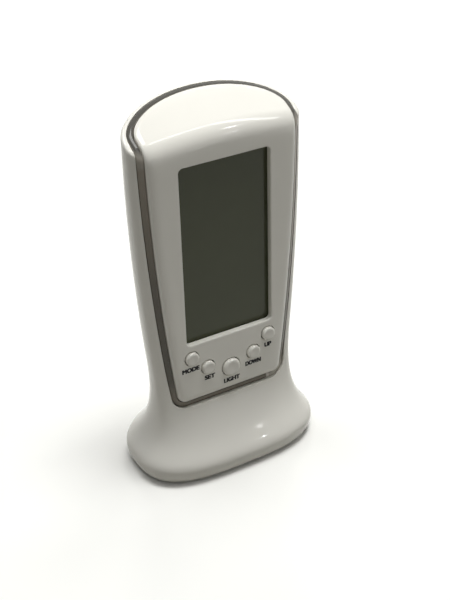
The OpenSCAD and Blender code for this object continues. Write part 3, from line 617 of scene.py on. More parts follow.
def rod_tree():
    """Tree that stands an upright round rod on every point of its seed."""
    tree, given = new_tree("rods", {"Sides": "Int", "Radius": "Float", "Length": "Float"})
    sizes = {"Vertices": given["Sides"], "Radius": given["Radius"], "Depth": given["Length"]}
    rod = add(tree, "GeometryNodeMeshCylinder", sizes)["Mesh"]
    row = add(tree, "GeometryNodeInstanceOnPoints", {"Points": given["Geometry"], "Instance": rod})
    return end_tree(tree, row["Instances"], given["Material"])


def turned_tree():
    """Tree that turns its seed, a row of points from pole to pole, round Z and adds a bar across."""
    sizes = {"Last Point": "Int", "Columns": "Int", "Bar Size": "Vector", "Bar Place": "Vector"}
    tree, given = new_tree("turned_cap", sizes)
    rows = add(tree, "ShaderNodeMath", {0: given["Last Point"], 1: 1.0}, operation="ADD")["Value"]
    grid = add(tree, "GeometryNodeMeshGrid", {"Vertices X": rows, "Vertices Y": given["Columns"]})
    share = add(tree, "ShaderNodeSeparateXYZ", {"Vector": grid["UV Map"]})
    place = product(tree, share["X"], given["Last Point"])
    index = add(tree, "FunctionNodeFloatToInt", {"Float": place}, rounding_mode="ROUND")["Integer"]
    position = add(tree, "GeometryNodeInputPosition", {})["Position"]
    profile = {"Geometry": given["Geometry"], "Value": position, "Index": index}
    point = add(tree, "GeometryNodeSampleIndex", profile, data_type="FLOAT_VECTOR")["Value"]
    angle = product(tree, share["Y"], FULL)
    turned = add(tree, "ShaderNodeVectorRotate", {"Vector": point, "Angle": angle}, rotation_type="Z_AXIS")
    moved = {"Geometry": grid["Mesh"], "Position": turned["Vector"]}
    skin_open = add(tree, "GeometryNodeSetPosition", moved)["Geometry"]
    closed = {"Geometry": skin_open, "Distance": POLE_MERGE}
    body = add(tree, "GeometryNodeMergeByDistance", closed)["Geometry"]
    block = add(tree, "GeometryNodeMeshCube", {"Size": given["Bar Size"]})["Mesh"]
    set_bar = {"Geometry": block, "Translation": given["Bar Place"]}
    bar = add(tree, "GeometryNodeTransform", set_bar)["Geometry"]
    both = add(tree, "GeometryNodeMeshBoolean", {"Mesh 2": body}, operation="UNION", solver="EXACT")["Mesh"]
    tree.links.new(bar, both.node.inputs["Mesh 2"])
    return end_tree(tree, both, given["Material"])


def rib_tree():
    """Tree that sets lens-shaped ribs evenly along an arc of the scoop, in the upright middle plane."""
    sizes = {"Ribs": "Int", "Scoop Radius": "Float", "Start": "Float", "Spread": "Float",
             "Middle": "Vector", "Rib Size": "Vector"}
    tree, given = new_tree("grip_ribs", sizes)
    arc = add(tree, "GeometryNodeCurveArc", {
        "Resolution": given["Ribs"],
        "Radius": given["Scoop Radius"],
        "Start Angle": given["Start"],
        "Sweep Angle": given["Spread"],
    })["Curve"]
    upright = Matrix(((0, 0, -1), (-1, 0, 0), (0, 1, 0))).to_euler()
    stood = {"Geometry": arc, "Rotation": upright, "Translation": given["Middle"]}
    line = add(tree, "GeometryNodeTransform", stood)["Geometry"]
    bead = add(tree, "GeometryNodeMeshUVSphere", {"Segments": RIB_SEGMENTS, "Rings": RIB_RINGS})["Mesh"]
    rib = add(tree, "GeometryNodeTransform", {"Geometry": bead, "Scale": given["Rib Size"]})["Geometry"]
    row = add(tree, "GeometryNodeInstanceOnPoints", {"Points": line, "Instance": rib})
    return end_tree(tree, row["Instances"], given["Material"])


# Materials

# Noise: most of its values lie between low and high, and gloss varies in finer clouds than colour does
NOISE_LOW = 0.3
NOISE_HIGH = 0.7
NOISE_ROUGH = 0.55
GLOSS_FINER = 3
GRAIN_DEPTH = 0.2


def new_material(name):
    """Material with its tree, its shader and the place on the object."""
    material = bpy.data.materials.new(name)
    material.use_nodes = True
    tree = material.node_tree
    return material, tree, tree.nodes["Principled BSDF"], add(tree, "ShaderNodeTexCoord", {})["Object"]


def noise(tree, place, scale, detail=3.0):
    sockets = {"Vector": place, "Scale": scale, "Detail": detail, "Roughness": NOISE_ROUGH}
    return add(tree, "ShaderNodeTexNoise", sockets)["Fac"]


def ramp(tree, value, stops):
    made = add(tree, "ShaderNodeValToRGB", {"Fac": value})["Color"]
    elements = made.node.color_ramp.elements
    while len(elements) < len(stops):
        elements.new(0.5)
    for element, (position, colour) in zip(elements, stops):
        element.position = position
        element.color = (*colour, 1)
    return made


def spread(tree, value, low, high, start=NOISE_LOW, end=NOISE_HIGH):
    """A value stretched from start..end to low..high."""
    sockets = {"Value": value, "From Min": start, "From Max": end, "To Min": low, "To Max": high}
    return add(tree, "ShaderNodeMapRange", sockets)["Result"]


def blend(tree, share, first, second):
    """A colour socket that goes over to a fixed colour by a share."""
    sockets = {"Factor": share, "A": first, "B": (*second, 1)}
    return add(tree, "ShaderNodeMix", sockets, data_type="RGBA")["Result"]


def surface(tree, shader, place, cloud, gloss, fine, grain):
    """Gloss in clouds of a scale, between two roughnesses, and a fine grain of a scale and a strength."""
    rough = spread(tree, noise(tree, place, cloud), *gloss)
    height = noise(tree, place, fine, detail=2.0)
    bump = {"Height": height, "Strength": grain, "Distance": GRAIN_DEPTH * MM}
    normal = add(tree, "ShaderNodeBump", bump)["Normal"]
    fill(tree, shader, {"Roughness": rough, "Normal": normal})


def moulded(name, colour, vary, gloss, fine=900.0, grain=0.05, cloud=45.0, metal=0.0, shine=0.5):
    """Moulded or plated finish: faint clouds of colour, uneven gloss and a fine grain."""
    material, tree, shader, place = new_material(name)
    darker = [c * (1 - vary) for c in colour]
    paler = [min(1.0, c * (1 + vary)) for c in colour]
    tones = ramp(tree, noise(tree, place, cloud), [(NOISE_LOW, darker), (NOISE_HIGH, paler)])
    fill(tree, shader, {"Base Color": tones, "Metallic": metal, "Specular IOR Level": shine})
    surface(tree, shader, place, cloud * GLOSS_FINER, gloss, fine, grain)
    return material


# Colours of the strip by height, with a painted sheen near the top, painted shade where it faces up and a painted
# glint at its joint in the bottom run, with their places
# Colours by height; the palest, at the top, are a painted sheen where the strip turns over onto the roof
STRIP_TONES_AND_SHEEN = [
    (0.09, (0.235, 0.207, 0.163)),
    (0.20, (0.115, 0.107, 0.082)),
    (0.45, (0.135, 0.120, 0.092)),
    (0.72, (0.24, 0.21, 0.165)),
    (0.88, (0.30, 0.265, 0.215)),
    (0.94, (0.46, 0.43, 0.375)),
]
STRIP_CLOUD = 120.0
STRIP_UNEVEN = 0.15
STRIP_SHINE = 0.3
# Painted shade: a darker colour where the strip faces up
STRIP_UP_SHADE = (0.075, 0.071, 0.060)
FACING_UP = (0.3, 0.7)
# Painted glint: a pale band laid on the strip by its joint in the bottom run, with its places and its shape along
# the run
JOINT_GLINT = (0.68, 0.65, 0.58)
JOINT_GLINT_X = (14.6, 18.6)
JOINT_GLINT_Z = (MOUTH_Z + 3, MOUTH_Z + 7)
JOINT_GLINT_BAND = [(0.12, 0.0), (0.2, 1.0), (0.42, 1.0), (0.5, 0.55), (1.0, 0.7)]


def smoked(name):
    """Smoked acrylic: paler towards the top, where a painted sheen lies on the corner it turns over, with a
    painted glint by its joint and painted shade where it faces up.
    """
    material, tree, shader, place = new_material(name)
    spot = add(tree, "ShaderNodeSeparateXYZ", {"Vector": place})
    height = spread(tree, spot["Z"], 0.0, 1.0, MOUTH_Z * MM, FOLD_Z * MM)
    uneven = {"Factor": STRIP_UNEVEN, "A": height, "B": noise(tree, place, STRIP_CLOUD)}
    # Colour by height, with a painted sheen near the top
    colour = ramp(tree, add(tree, "ShaderNodeMix", uneven)["Result"], STRIP_TONES_AND_SHEEN)
    # Painted shade: the colour goes darker where the strip faces up
    normal = add(tree, "ShaderNodeNewGeometry", {})["Normal"]
    facing = add(tree, "ShaderNodeSeparateXYZ", {"Vector": normal})["Z"]
    colour = blend(tree, spread(tree, facing, 0.0, 1.0, *FACING_UP), colour, STRIP_UP_SHADE)
    # Painted glint by the joint: a band across the bottom run goes over to a pale colour
    along = spread(tree, spot["X"], 0.0, 1.0, *(x * MM for x in JOINT_GLINT_X))
    glint_band = ramp(tree, along, [(position, (tone,) * 3) for position, tone in JOINT_GLINT_BAND])
    low = spread(tree, spot["Z"], 1.0, 0.0, *(z * MM for z in JOINT_GLINT_Z))
    colour = blend(tree, product(tree, glint_band, low), colour, JOINT_GLINT)
    fill(tree, shader, {"Base Color": colour, "Specular IOR Level": STRIP_SHINE})
    surface(tree, shader, place, STRIP_CLOUD * GLOSS_FINER, gloss=(0.05, 0.09), fine=600.0, grain=0.01)
    return material


# Colour, its share of change, range of roughness, and scale and strength of the grain, by material slot
MOULDED = {
    "white_abs": dict(colour=(0.805, 0.79, 0.73), vary=0.01, gloss=(0.07, 0.10), fine=1400, grain=0.006),
    "lcd_film": dict(colour=(0.053, 0.059, 0.024), vary=0.06, gloss=(0.14, 0.18), fine=2500, grain=0.01,
                     shine=0.3),
    "display_glass": dict(colour=(0.05, 0.055, 0.045), vary=0.08, gloss=(0.05, 0.09)),
    "clear_acrylic": dict(colour=(0.70, 0.73, 0.76), vary=0.03, gloss=(0.1, 0.16)),
    "white_film": dict(colour=(0.86, 0.86, 0.85), vary=0.02, gloss=(0.6, 0.7), fine=2200, grain=0.08),
    "black_foam": dict(colour=(0.03, 0.03, 0.03), vary=0.3, gloss=(0.85, 0.95), fine=1800, grain=0.5),
    "dark_rubber": dict(colour=(0.035, 0.035, 0.038), vary=0.18, gloss=(0.7, 0.85), fine=1200, grain=0.25),
    "frame_plastic": dict(colour=(0.62, 0.62, 0.59), vary=0.04, gloss=(0.5, 0.6), fine=1500, grain=0.12),
    "board_green": dict(colour=(0.03, 0.13, 0.06), vary=0.3, gloss=(0.35, 0.5), fine=700, grain=0.15,
                        cloud=260.0),
    "chip_black": dict(colour=(0.015, 0.015, 0.015), vary=0.3, gloss=(0.35, 0.5), fine=400, grain=0.2),
    "plated_steel": dict(colour=(0.62, 0.62, 0.61), vary=0.06, gloss=(0.22, 0.36), fine=1600, grain=0.1,
                         cloud=300.0, metal=1.0),
    "blue_sleeve": dict(colour=(0.02, 0.04, 0.12), vary=0.2, gloss=(0.3, 0.4)),
    "brown_resin": dict(colour=(0.16, 0.06, 0.02), vary=0.25, gloss=(0.3, 0.45)),
    "led_white": dict(colour=(0.82, 0.85, 0.88), vary=0.03, gloss=(0.12, 0.2)),
    "switch_black": dict(colour=(0.02, 0.02, 0.02), vary=0.25, gloss=(0.45, 0.6), fine=1500, grain=0.15),
    "wire_red": dict(colour=(0.32, 0.015, 0.012), vary=0.1, gloss=(0.4, 0.5)),
    "wire_black": dict(colour=(0.015, 0.015, 0.015), vary=0.2, gloss=(0.4, 0.5)),
}
FINISHES = {name: moulded(name, **look) for name, look in MOULDED.items()}
FINISHES["smoke_acrylic"] = smoked("smoke_acrylic")
WHITE = FINISHES["white_abs"]
INK = moulded("legend_ink", colour=(0.016, 0.016, 0.017), vary=0.25, gloss=(0.5, 0.65), fine=3000, grain=0.1,
              cloud=500.0)

for part in frame["record"]["subparts"]:
    for place in frame["nodes"][part["node"]].material_slots:
        place.link = "OBJECT"
        place.material = FINISHES[part["material_slot"]]


# Edges that turn by more degrees than this stay sharp
CREASE = 32
STRIP_CREASE = 40


def finished(piece, material, body, replaced=(), crease=CREASE):
    """Dresses a piece and ties it to its body and the solids that it replaces."""
    piece.data.materials.clear()
    piece.data.materials.append(material)
    piece.data.polygons.foreach_set("use_smooth", [True] * len(piece.data.polygons))
    piece.data.set_sharp_from_angle(angle=math.radians(crease))
    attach(piece, body)
    if replaced:
        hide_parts(*replaced)


# Rods through the panel and in the foot

ROD_TREE = rod_tree()


def rods(name, points, length, diameter):
    """Upright rods centred on points."""
    values = {"Sides": ROUND_STEPS, "Radius": diameter / 2 * MM, "Length": length * MM, "Material": WHITE}
    return grown(mesh_object(name, points, []), ROD_TREE, values)


def panel_rods(name, spots, near, far, diameter):
    """Rods through the panel at places on it, between two depths."""
    made = rods(name, [(x, h, -(near + far) / 2) for x, h in spots], far - near, diameter)
    made.data.transform(PANEL)
    return made


def case_spots():
    """Places of the case screws: beside the display and above the strip's bottom corners."""
    low_z = MOUTH_Z + STRIP_W + CORNER_RISE
    low_x = mouth_half(low_z) - STRIP_W - CORNER_SIDE
    right = [(CASE_SCREW_X, WINDOW_H / 2 - CASE_BOSS_D), (low_x, low_z - WINDOW_Z)]
    return right + [(-x, h) for x, h in right]


def boss_top(angle, spot):
    """Height at which the foot's wall closes over a boss for a base screw."""
    wall_line = skin(flare_z(FLARE_STEPS), flare_share(FLARE_STEPS), 0, CORE_INSET, angle)
    outside = np.hypot(wall_line[:, 0], wall_line[:, 1]) > np.hypot(*spot) + SMALL_BOSS_D / 2
    return wall_line[np.argmin(outside), 2]


def base_rods(name, low, lid, diameter):
    """Rods at the base screws, from a height up to a lid under the top of each boss."""
    made = []
    for angle in turns(BASE_SCREWS):
        x, y = BASE_REACH * (math.cos(angle), math.sin(angle))
        high = boss_top(angle, (x, y)) - lid
        made.append(rods(name, [(x, y, (low + high) / 2)], high - low, diameter))
    return joined(name, made)


CASE_SPOTS = case_spots()
BOARD_SPOTS = [(side * BOARD_SCREW_X, h) for side in (-1, 1) for h in BOARD_SCREW_H]


# Rear shell

# Points round the shell, and rows over its rim, its flare and its column
SHELL_POINTS = 208
CORE_POINTS = 96
FINE_STEPS = (8, 34, 44)
COARSE_STEPS = (4, 14, 16)
TOP_STEPS = 5
SPACED_AT = (8.0, 70.0)
SPACING_STEPS = 6000


def even_angles(count):
    """Angles that give evenly spaced points round the foot and the column, each at one height."""
    angles = np.linspace(-QUARTER, FULL - QUARTER, SPACING_STEPS + 1)
    steps = 0
    for z in SPACED_AT:
        steps = steps + np.linalg.norm(np.diff(skin(z, share_at(z), 0, 0, angles), axis=0), axis=1)
    run = np.concatenate([[0], np.cumsum(steps)])
    return np.interp(np.arange(count) / count * run[-1], run, angles)


def top_z(angle):
    """Height of the shell's top edge, which follows the roof."""
    side = np.abs(np.sin(angle))
    front = roof_edge_z(ROOF_HALF, WIDEST_D * (1 - side ** (2 / FRONT_SQUARE)))
    back_x = ROOF_HALF * signed_power(np.cos(angle), 2 / BACK_SQUARE)
    back = roof_edge_z(back_x, mix(WIDEST_D, ROOF_BACK, side ** (2 / BACK_SQUARE)))
    return np.where(np.sin(angle) < 0, front, back)


def wall_rows(angle, inset, steps, top):
    """Rows of the shell's skin from the foot's lower edge over rim, flare and column to the top."""
    rim, flare, column = steps
    rows = []
    for a in QUARTER * np.arange(rim) / rim:
        z = RIM_H - (RIM_H - FOOT_GAP) * math.cos(a)
        rows.append(skin(z, 1, RIM_ROUND * (1 - math.sin(a)), inset, angle))
    for t in np.linspace(0, 1, flare):
        rows.append(skin(flare_z(t), flare_share(t), 0, inset, angle))
    for t in np.linspace(0, 1, column + 1)[1:]:
        rows.append(skin(mix(NECK_Z, top, t), 0, 0, inset, angle))
    return rows


def wall(name, angle, all_round):
    """Wall of the shell over a range of angles: up its outside, over the rounded top and down inside."""
    top = top_z(angle)
    r = RIM_W - SHELL_LIP
    rows = wall_rows(angle, 0, FINE_STEPS, top - r)
    for a in QUARTER * np.arange(1, TOP_STEPS + 1) / TOP_STEPS:
        rows.append(skin(top - r * (1 - math.sin(a)), 0, 0, r * (1 - math.cos(a)), angle))
    rows += wall_rows(angle, SHELL_WALL, COARSE_STEPS, top)[::-1]
    sections = np.stack(rows, axis=1)
    return looped(name, sections) if all_round else capped(name, sections)


def mouth_cut():
    """Prism that opens the front and the roof for the strip and the cover."""
    corner_x = mouth_half(MOUTH_TOP) - MOUTH_R
    right = [(corner_x + MOUTH_R * math.sin(a), MOUTH_TOP - MOUTH_R * math.cos(a))
             for a in np.linspace(0, QUARTER, CORNER_STEPS + 1)]
    right += [(mouth_half(z), z) for z in np.linspace(MOUTH_TOP, FOLD_Z, ROOF_STEPS)[1:]]
    right.append((right[-1][0], BODY_H + OVER))
    left = [(-x, z) for x, z in right[::-1]]
    return prism("mouth_cut", right + left, lean_y(FOLD_Z) + WIDEST_D, -2 * OVER)


def door_prism(grow, low_grow):
    """Prism of the door's outline, grown by a gap and by a wider one below."""
    low = DOOR_LOW - low_grow
    high = DOOR_HIGH + grow
    outline = rounded_outline(DOOR_W + 2 * grow, high - low, DOOR_R + grow, (low + high) / 2)
    near = lean_y(DOOR_LOW) + WIDEST_D
    return prism("door_prism", outline, near, near + 2 * OVER)


def shell_inside():
    """Screw posts, buzzer cup and base bosses, cut off inside the shell's wall."""
    back = HEAD_D + OVER
    posts = panel_rods("posts", CASE_SPOTS, CASE_SPLIT, back, CASE_HEAD_D + 2 * BOSS_WALL)
    spot = [(0, BUZZER_H)]
    cup = panel_rods("cup", spot, BUZZER_MID - BUZZER_T / 2, back, BUZZER_ROOM + 2 * BUZZER_WALL)
    boolean(cup, panel_rods("cup_room", spot, 0, back + OVER, BUZZER_ROOM), "DIFFERENCE")
    bosses = base_rods("bosses", base_high[2], 0, SMALL_BOSS_D)
    inside = joined("shell_inside", [posts, cup, bosses])
    core = capped("core", wall_rows(even_angles(CORE_POINTS), CORE_INSET, COARSE_STEPS, FOLD_Z))
    return boolean(inside, core, "INTERSECT")


def shell_bores():
    """Screw bores, screw-head recesses, sound holes and the bores of the base bosses."""
    back = HEAD_D + OVER
    ring = [(SOUND_RING * math.cos(a), BUZZER_H + SOUND_RING * math.sin(a)) for a in turns(SOUND_HOLES)]
    return [
        panel_rods("shanks", CASE_SPOTS, 0, back, CASE_SCREW_D + HOLE_PLAY),
        panel_rods("heads", CASE_SPOTS, HEAD_SEAT, back, CASE_HEAD_D + HOLE_PLAY),
        panel_rods("sound_holes", [(0, BUZZER_H)] + ring, BUZZER_MID + BUZZER_T / 2, back, SOUND_D),
        base_rods("base_bores", 0, BASE_LID, SMALL_SCREW_D + SCREW_PLAY),
    ]


def rear_shell():
    shell = wall("rear_shell_skin", even_angles(SHELL_POINTS), all_round=True)
    boolean(shell, mouth_cut(), "DIFFERENCE")
    boolean(shell, door_prism(DOOR_GAP, SWING_GAP), "DIFFERENCE")
    boolean(shell, shell_inside(), "UNION")
    for bore in shell_bores():
        boolean(shell, bore, "DIFFERENCE")
    return shell


finished(rear_shell(), WHITE, "case", ["rear_shell"])


# Battery door, cut from the same wall, and the ribs in its thumb scoop

SCOOP_Y = skin(DOOR_HIGH, 0, 0, 0, QUARTER)[1] + SCOOP_R - SCOOP_DEPTH


def battery_door():
    angles = even_angles(SHELL_POINTS)
    door = wall("battery_door_skin", angles[np.abs(angles - QUARTER) < DOOR_SPAN], all_round=False)
    boolean(door, door_prism(0, 0), "INTERSECT")
    half = LUG_W / 2 + DOOR_GAP
    top = HINGE_Z + LUG_R + DOOR_GAP
    for x in (-LUG_X, LUG_X):
        outline = [(x - half, 0), (x + half, 0), (x + half, top), (x - half, top)]
        boolean(door, prism("notch", outline, -OVER, OVER), "DIFFERENCE")
    boolean(door, cross_rod("scoop", SCOOP_Y, SCOOP_Z, SCOOP_W, SCOOP_R), "DIFFERENCE")
    pins = cross_rod("pins", HINGE_Y, HINGE_Z, 2 * LUG_X + LUG_W, PIN_R)
    return joined("battery_door_skin", [door, pins])


def grip_ribs():
    return grown(mesh_object("grip_ribs", [(0, 0, 0)], []), rib_tree(), {
        "Ribs": RIBS,
        "Scoop Radius": SCOOP_R * MM,
        "Start": -RIB_SPREAD / 2,
        "Spread": RIB_SPREAD,
        "Middle": Vector((0, SCOOP_Y, SCOOP_Z)) * MM,
        "Rib Size": Vector((RIB_REACH, RIB_RISE, RIB_RISE)) * MM,
        "Material": WHITE,
    })


finished(battery_door(), WHITE, "battery_door", ["battery_door"])
finished(grip_ribs(), WHITE, "battery_door")


# Front cover

COVER_COLUMNS = 33
FILLET_STEPS = 6


def edge_drop(u, q, line):
    """How far the cover's skin rolls down towards its edge, which is a line of u and q."""
    run = np.roll(line, -1, 0) - line
    point = np.stack([u, q], -1).reshape(-1, 1, 2)
    length = (run * run).sum(-1)
    t = np.clip(((point - line) * run).sum(-1) / length, 0, 1)
    gap = np.linalg.norm(point - (line + t[..., None] * run), axis=-1)
    inside = 1 - np.clip(gap.min(1) / ROLL_W, 0, 1)
    return (INNER_DROP[gap.argmin(1)] * (1 - np.sqrt(1 - inside ** 2))).reshape(u.shape)


def cover_sheet():
    """The cover as a sheet with a wall, rolled down at its edge; columns lie closer towards its sides."""
    line = moved_in(SHOWN_W + SEAM)
    right = line[BOTTOM_STEPS - 1:EDGE_HALF - 1]
    u = right[:, :1] * np.sin(np.linspace(-QUARTER, QUARTER, COVER_COLUMNS))
    q = right[:, 1:] + 0 * u
    drop = edge_drop(u, q, line)
    points = np.vstack([sheet(u, q, drop).reshape(-1, 3), sheet(u, q, drop, COVER_WALL).reshape(-1, 3)])
    n, m = u.shape
    outside = grid_faces(n, m)
    inside = [[i + n * m for i in face] for face in outside]
    border = list(range(m))
    border += [i * m + m - 1 for i in range(1, n)]
    border += [(n - 1) * m + j for j in range(m - 2, -1, -1)]
    border += [i * m for i in range(n - 2, 0, -1)]
    sides = [(a, b, b + n * m, a + n * m) for a, b in zip(border, border[1:] + border[:1])]
    return outward(mesh_object("front_cover_skin", points, outside + inside + sides))


def window_outline(grow):
    return rounded_outline(WINDOW_W + 2 * grow, WINDOW_H + 2 * grow, WINDOW_R + grow, steps=8)


def hole_outline(x, h, d):
    """Outline of a button's hole as a function of how far it is grown."""
    r = d / 2 + BUTTON_GAP
    return lambda grow: [(x + (r + grow) * math.cos(a), h + (r + grow) * math.sin(a))
                         for a in turns(ROUND_STEPS)]


def opening_rim(outline, fillet):
    """Rounded edge and wall of an opening in the panel."""
    loops = []
    for a in np.linspace(0, QUARTER, FILLET_STEPS + 1):
        depth = fillet * (1 - math.cos(a))
        loops.append([(x, h, -depth) for x, h in outline(fillet * (1 - math.sin(a)))])
    for grow in (0, fillet):
        loops.append([(x, h, -COVER_WALL) for x, h in outline(grow)])
    rim = looped("rim", loops)
    rim.data.transform(PANEL)
    return rim


def cover_cutters():
    """Cutters of the window, the button holes and the screw bores."""
    far = COVER_WALL + GASKET_T
    outline = window_outline(WINDOW_FILLET)
    window = capped("window", [[(x, h, z) for x, h in outline] for z in (OVER, -far)])
    window.data.transform(PANEL)
    cutters = [window]
    for x, h, d in BUTTONS.values():
        cutters.append(panel_rods("hole", [(x, h)], -OVER, far, d + 2 * (BUTTON_GAP + HOLE_FILLET)))
    start = COVER_WALL + BORE_FLOOR
    for spots, diameter in ((CASE_SPOTS, CASE_SCREW_D), (BOARD_SPOTS, SMALL_SCREW_D)):
        cutters.append(panel_rods("bores", spots, start, CASE_SPLIT + OVER, diameter + SCREW_PLAY))
    return cutters


def front_cover():
    cover = cover_sheet()
    root = COVER_WALL - ROOT_LAP
    boolean(cover, panel_rods("case_bosses", CASE_SPOTS, root, CASE_SPLIT, CASE_BOSS_D), "UNION")
    boolean(cover, panel_rods("board_bosses", BOARD_SPOTS, root, BOARD_D, SMALL_BOSS_D), "UNION")
    for cutter in cover_cutters():
        boolean(cover, cutter, "DIFFERENCE")
    rims = [opening_rim(window_outline, WINDOW_FILLET)]
    rims += [opening_rim(hole_outline(*spot), HOLE_FILLET) for spot in BUTTONS.values()]
    return joined("front_cover_skin", [cover] + rims)


finished(front_cover(), WHITE, "case", ["front_cover"])


# Light strip

# Half of the strip's section, from the groove at its edge to its crown: share of its width, and depth
STRIP_GROOVE = 0.06
STRIP_SECTION = [
    (STRIP_GROOVE, 0.5),
    (STRIP_GROOVE, 0.16),
    (STRIP_GROOVE + 0.03, 0.06),
    (0.2, 0.0),
    (0.35, -0.05),
    (0.5, -0.07),
]


def light_strip():
    """The strip's section carried round its edge, with a flat back that tapers by its draft."""
    section = STRIP_SECTION + [(1 - share, depth) for share, depth in STRIP_SECTION[-2::-1]]
    rows = [(share, depth, 0.0) for share, depth in section]
    rows += [(1.0, 0.0, STRIP_T), (STRIP_DRAFT / SHOWN_W, 0.0, STRIP_T)]
    loops = []
    for share, depth, behind in rows:
        u, q = moved_in(SHOWN_W * share).T
        loops.append(sheet(u, q, mix(OUTER_DROP, INNER_DROP, share) + depth, behind))
    return looped("light_guide_skin", loops)


finished(light_strip(), FINISHES["smoke_acrylic"], "case", ["light_guide"], STRIP_CREASE)


# Push buttons: dished caps with a rounded rim, ears behind the cover and a stem

CAP_COLUMNS = ROUND_STEPS + 1
CAP_STEPS = 8
TURNED_TREE = turned_tree()


def cap_profile(d):
    """Half section of a button, from the middle of its face to the tip of its stem."""
    r = d / 2
    fillet = d * CAP_ROUND
    dish = d * CAP_DISH
    back = -EAR_D - EAR_T
    profile = [((r - fillet) * t, BUTTON_RISE - dish * (1 + math.cos(math.pi * t)) / 2)
               for t in np.linspace(0, 1, CAP_STEPS + 1)]
    profile += [(r - fillet * (1 - math.sin(a)), BUTTON_RISE - fillet * (1 - math.cos(a)))
                for a in np.linspace(0, QUARTER, CAP_STEPS + 1)[1:]]
    profile += [(r, back), (STEM_D / 2, back), (STEM_D / 2, -STEM_TIP), (0.0, -STEM_TIP)]
    return [(x, 0.0, z) for x, z in profile]


def button_cap(name, x, h, d):
    profile = cap_profile(d)
    cap = grown(mesh_object(name + "_cap", profile, []), TURNED_TREE, {
        "Last Point": len(profile) - 1,
        "Columns": CAP_COLUMNS,
        "Bar Size": Vector((d + 2 * EAR_REACH, EAR_H, EAR_T)) * MM,
        "Bar Place": Vector((0, 0, -EAR_D - EAR_T / 2)) * MM,
        "Material": WHITE,
    })
    cap.data.transform(PANEL @ Matrix.Translation(Vector((x, h, 0)) * MM))
    return outward(cap)


for name, spot in BUTTONS.items():
    finished(button_cap(name, *spot), WHITE, name, [name])


# Legends printed under the buttons: word, sideways shift, drop and stretch of its letters

LEGENDS = {
    "mode_button": ("MODE", -0.7, 4.5, 1.0),
    "set_button": ("SET", 0.5, 4.3, 1.08),
    "light_button": ("LIGHT", 0.1, 5.3, 0.96),
    "down_button": ("DOWN", -0.1, 4.4, 0.8),
    "up_button": ("UP", -0.1, 4.7, 0.95),
}
LETTER_H = 1.65
LETTER_SHARE = 0.7
LETTER_STEPS = 6
INK_SPREAD = (0.17, 0.10)
INK_T = 0.02
INK_MID = INK_T * 0.6


def letters_of(word):
    """Letters of a word as closed flat solids, centred and as thick as the ink."""
    text = bpy.data.curves.new("legend", "FONT")
    text.body = word
    text.align_x = "CENTER"
    text.align_y = "CENTER"
    text.size = LETTER_H / LETTER_SHARE * MM
    text.extrude = INK_T / 2 * MM
    text.resolution_u = LETTER_STEPS
    shown = linked("legend", text)
    bpy.context.view_layer.update()
    graph = bpy.context.evaluated_depsgraph_get()
    letters = linked("letters", bpy.data.meshes.new_from_object(shown.evaluated_get(graph)))
    bpy.data.objects.remove(shown, do_unlink=True)
    return outward(letters)


def legend(word, x, h, stretch):
    """A word in bold strokes: its letters laid side by side over the spread of the ink."""
    letters = letters_of(word)
    strokes = []
    for dx in (-INK_SPREAD[0], 0, INK_SPREAD[0]):
        for dh in (-INK_SPREAD[1], 0, INK_SPREAD[1]):
            stroke = linked("stroke", letters.data.copy())
            spot = Matrix.Translation(Vector((x + dx, h + dh, INK_MID)) * MM)
            stroke.data.transform(PANEL @ spot @ Matrix.Diagonal((stretch, 1, 1, 1)))
            strokes.append(stroke)
    bpy.data.objects.remove(letters, do_unlink=True)
    return joined("legend_" + word.lower(), strokes)


for name, (word, shift, drop, stretch) in LEGENDS.items():
    x, h, _ = BUTTONS[name]
    finished(legend(word, x + shift, h - drop, stretch), INK, "case")


# Floor: pale to the eye and in reflections, whiter farther off, and duller in the light that it throws back

FLOOR_HALF = 3000
FLOOR_CLOUD = 3.0
FLOOR_TONES = [(NOISE_LOW, (0.93, 0.93, 0.90)), (NOISE_HIGH, (0.95, 0.95, 0.925))]
FLOOR_BOUNCE = (0.42, 0.41, 0.38)
FLOOR_ROUGH = 0.8
FLOOR_SHINE = 0.1
GLOW_COLOUR = (1.0, 1.0, 0.98)
GLOW_NEAR = 200
GLOW_FAR = 1200
GLOW_LEAST = 0.03


def floor_material():
    material, tree, shader, place = new_material("floor")
    seen = seen_share(tree)
    pale = ramp(tree, noise(tree, place, FLOOR_CLOUD), FLOOR_TONES)
    shown = {"Factor": seen, "A": (*FLOOR_BOUNCE, 1), "B": pale}
    colour = add(tree, "ShaderNodeMix", shown, data_type="RGBA")["Result"]
    reach = add(tree, "ShaderNodeVectorMath", {0: place}, operation="LENGTH")["Value"]
    far = {"Value": reach, "From Min": GLOW_NEAR * MM, "From Max": GLOW_FAR * MM, "To Min": GLOW_LEAST}
    glow = add(tree, "ShaderNodeMapRange", far, interpolation_type="SMOOTHSTEP")["Result"]
    fill(tree, shader, {
        "Base Color": colour,
        "Roughness": FLOOR_ROUGH,
        "Specular IOR Level": FLOOR_SHINE,
        "Emission Color": (*GLOW_COLOUR, 1),
        "Emission Strength": product(tree, seen, glow),
    })
    return material


corners = [(x * FLOOR_HALF, y * FLOOR_HALF, 0) for x, y in ((-1, -1), (1, -1), (1, 1), (-1, 1))]
floor = mesh_object("floor", corners, [range(4)])
floor.data.materials.append(floor_material())


# Lamps, in metres and watts: ceiling panes, tubes between them and two small lamps in front

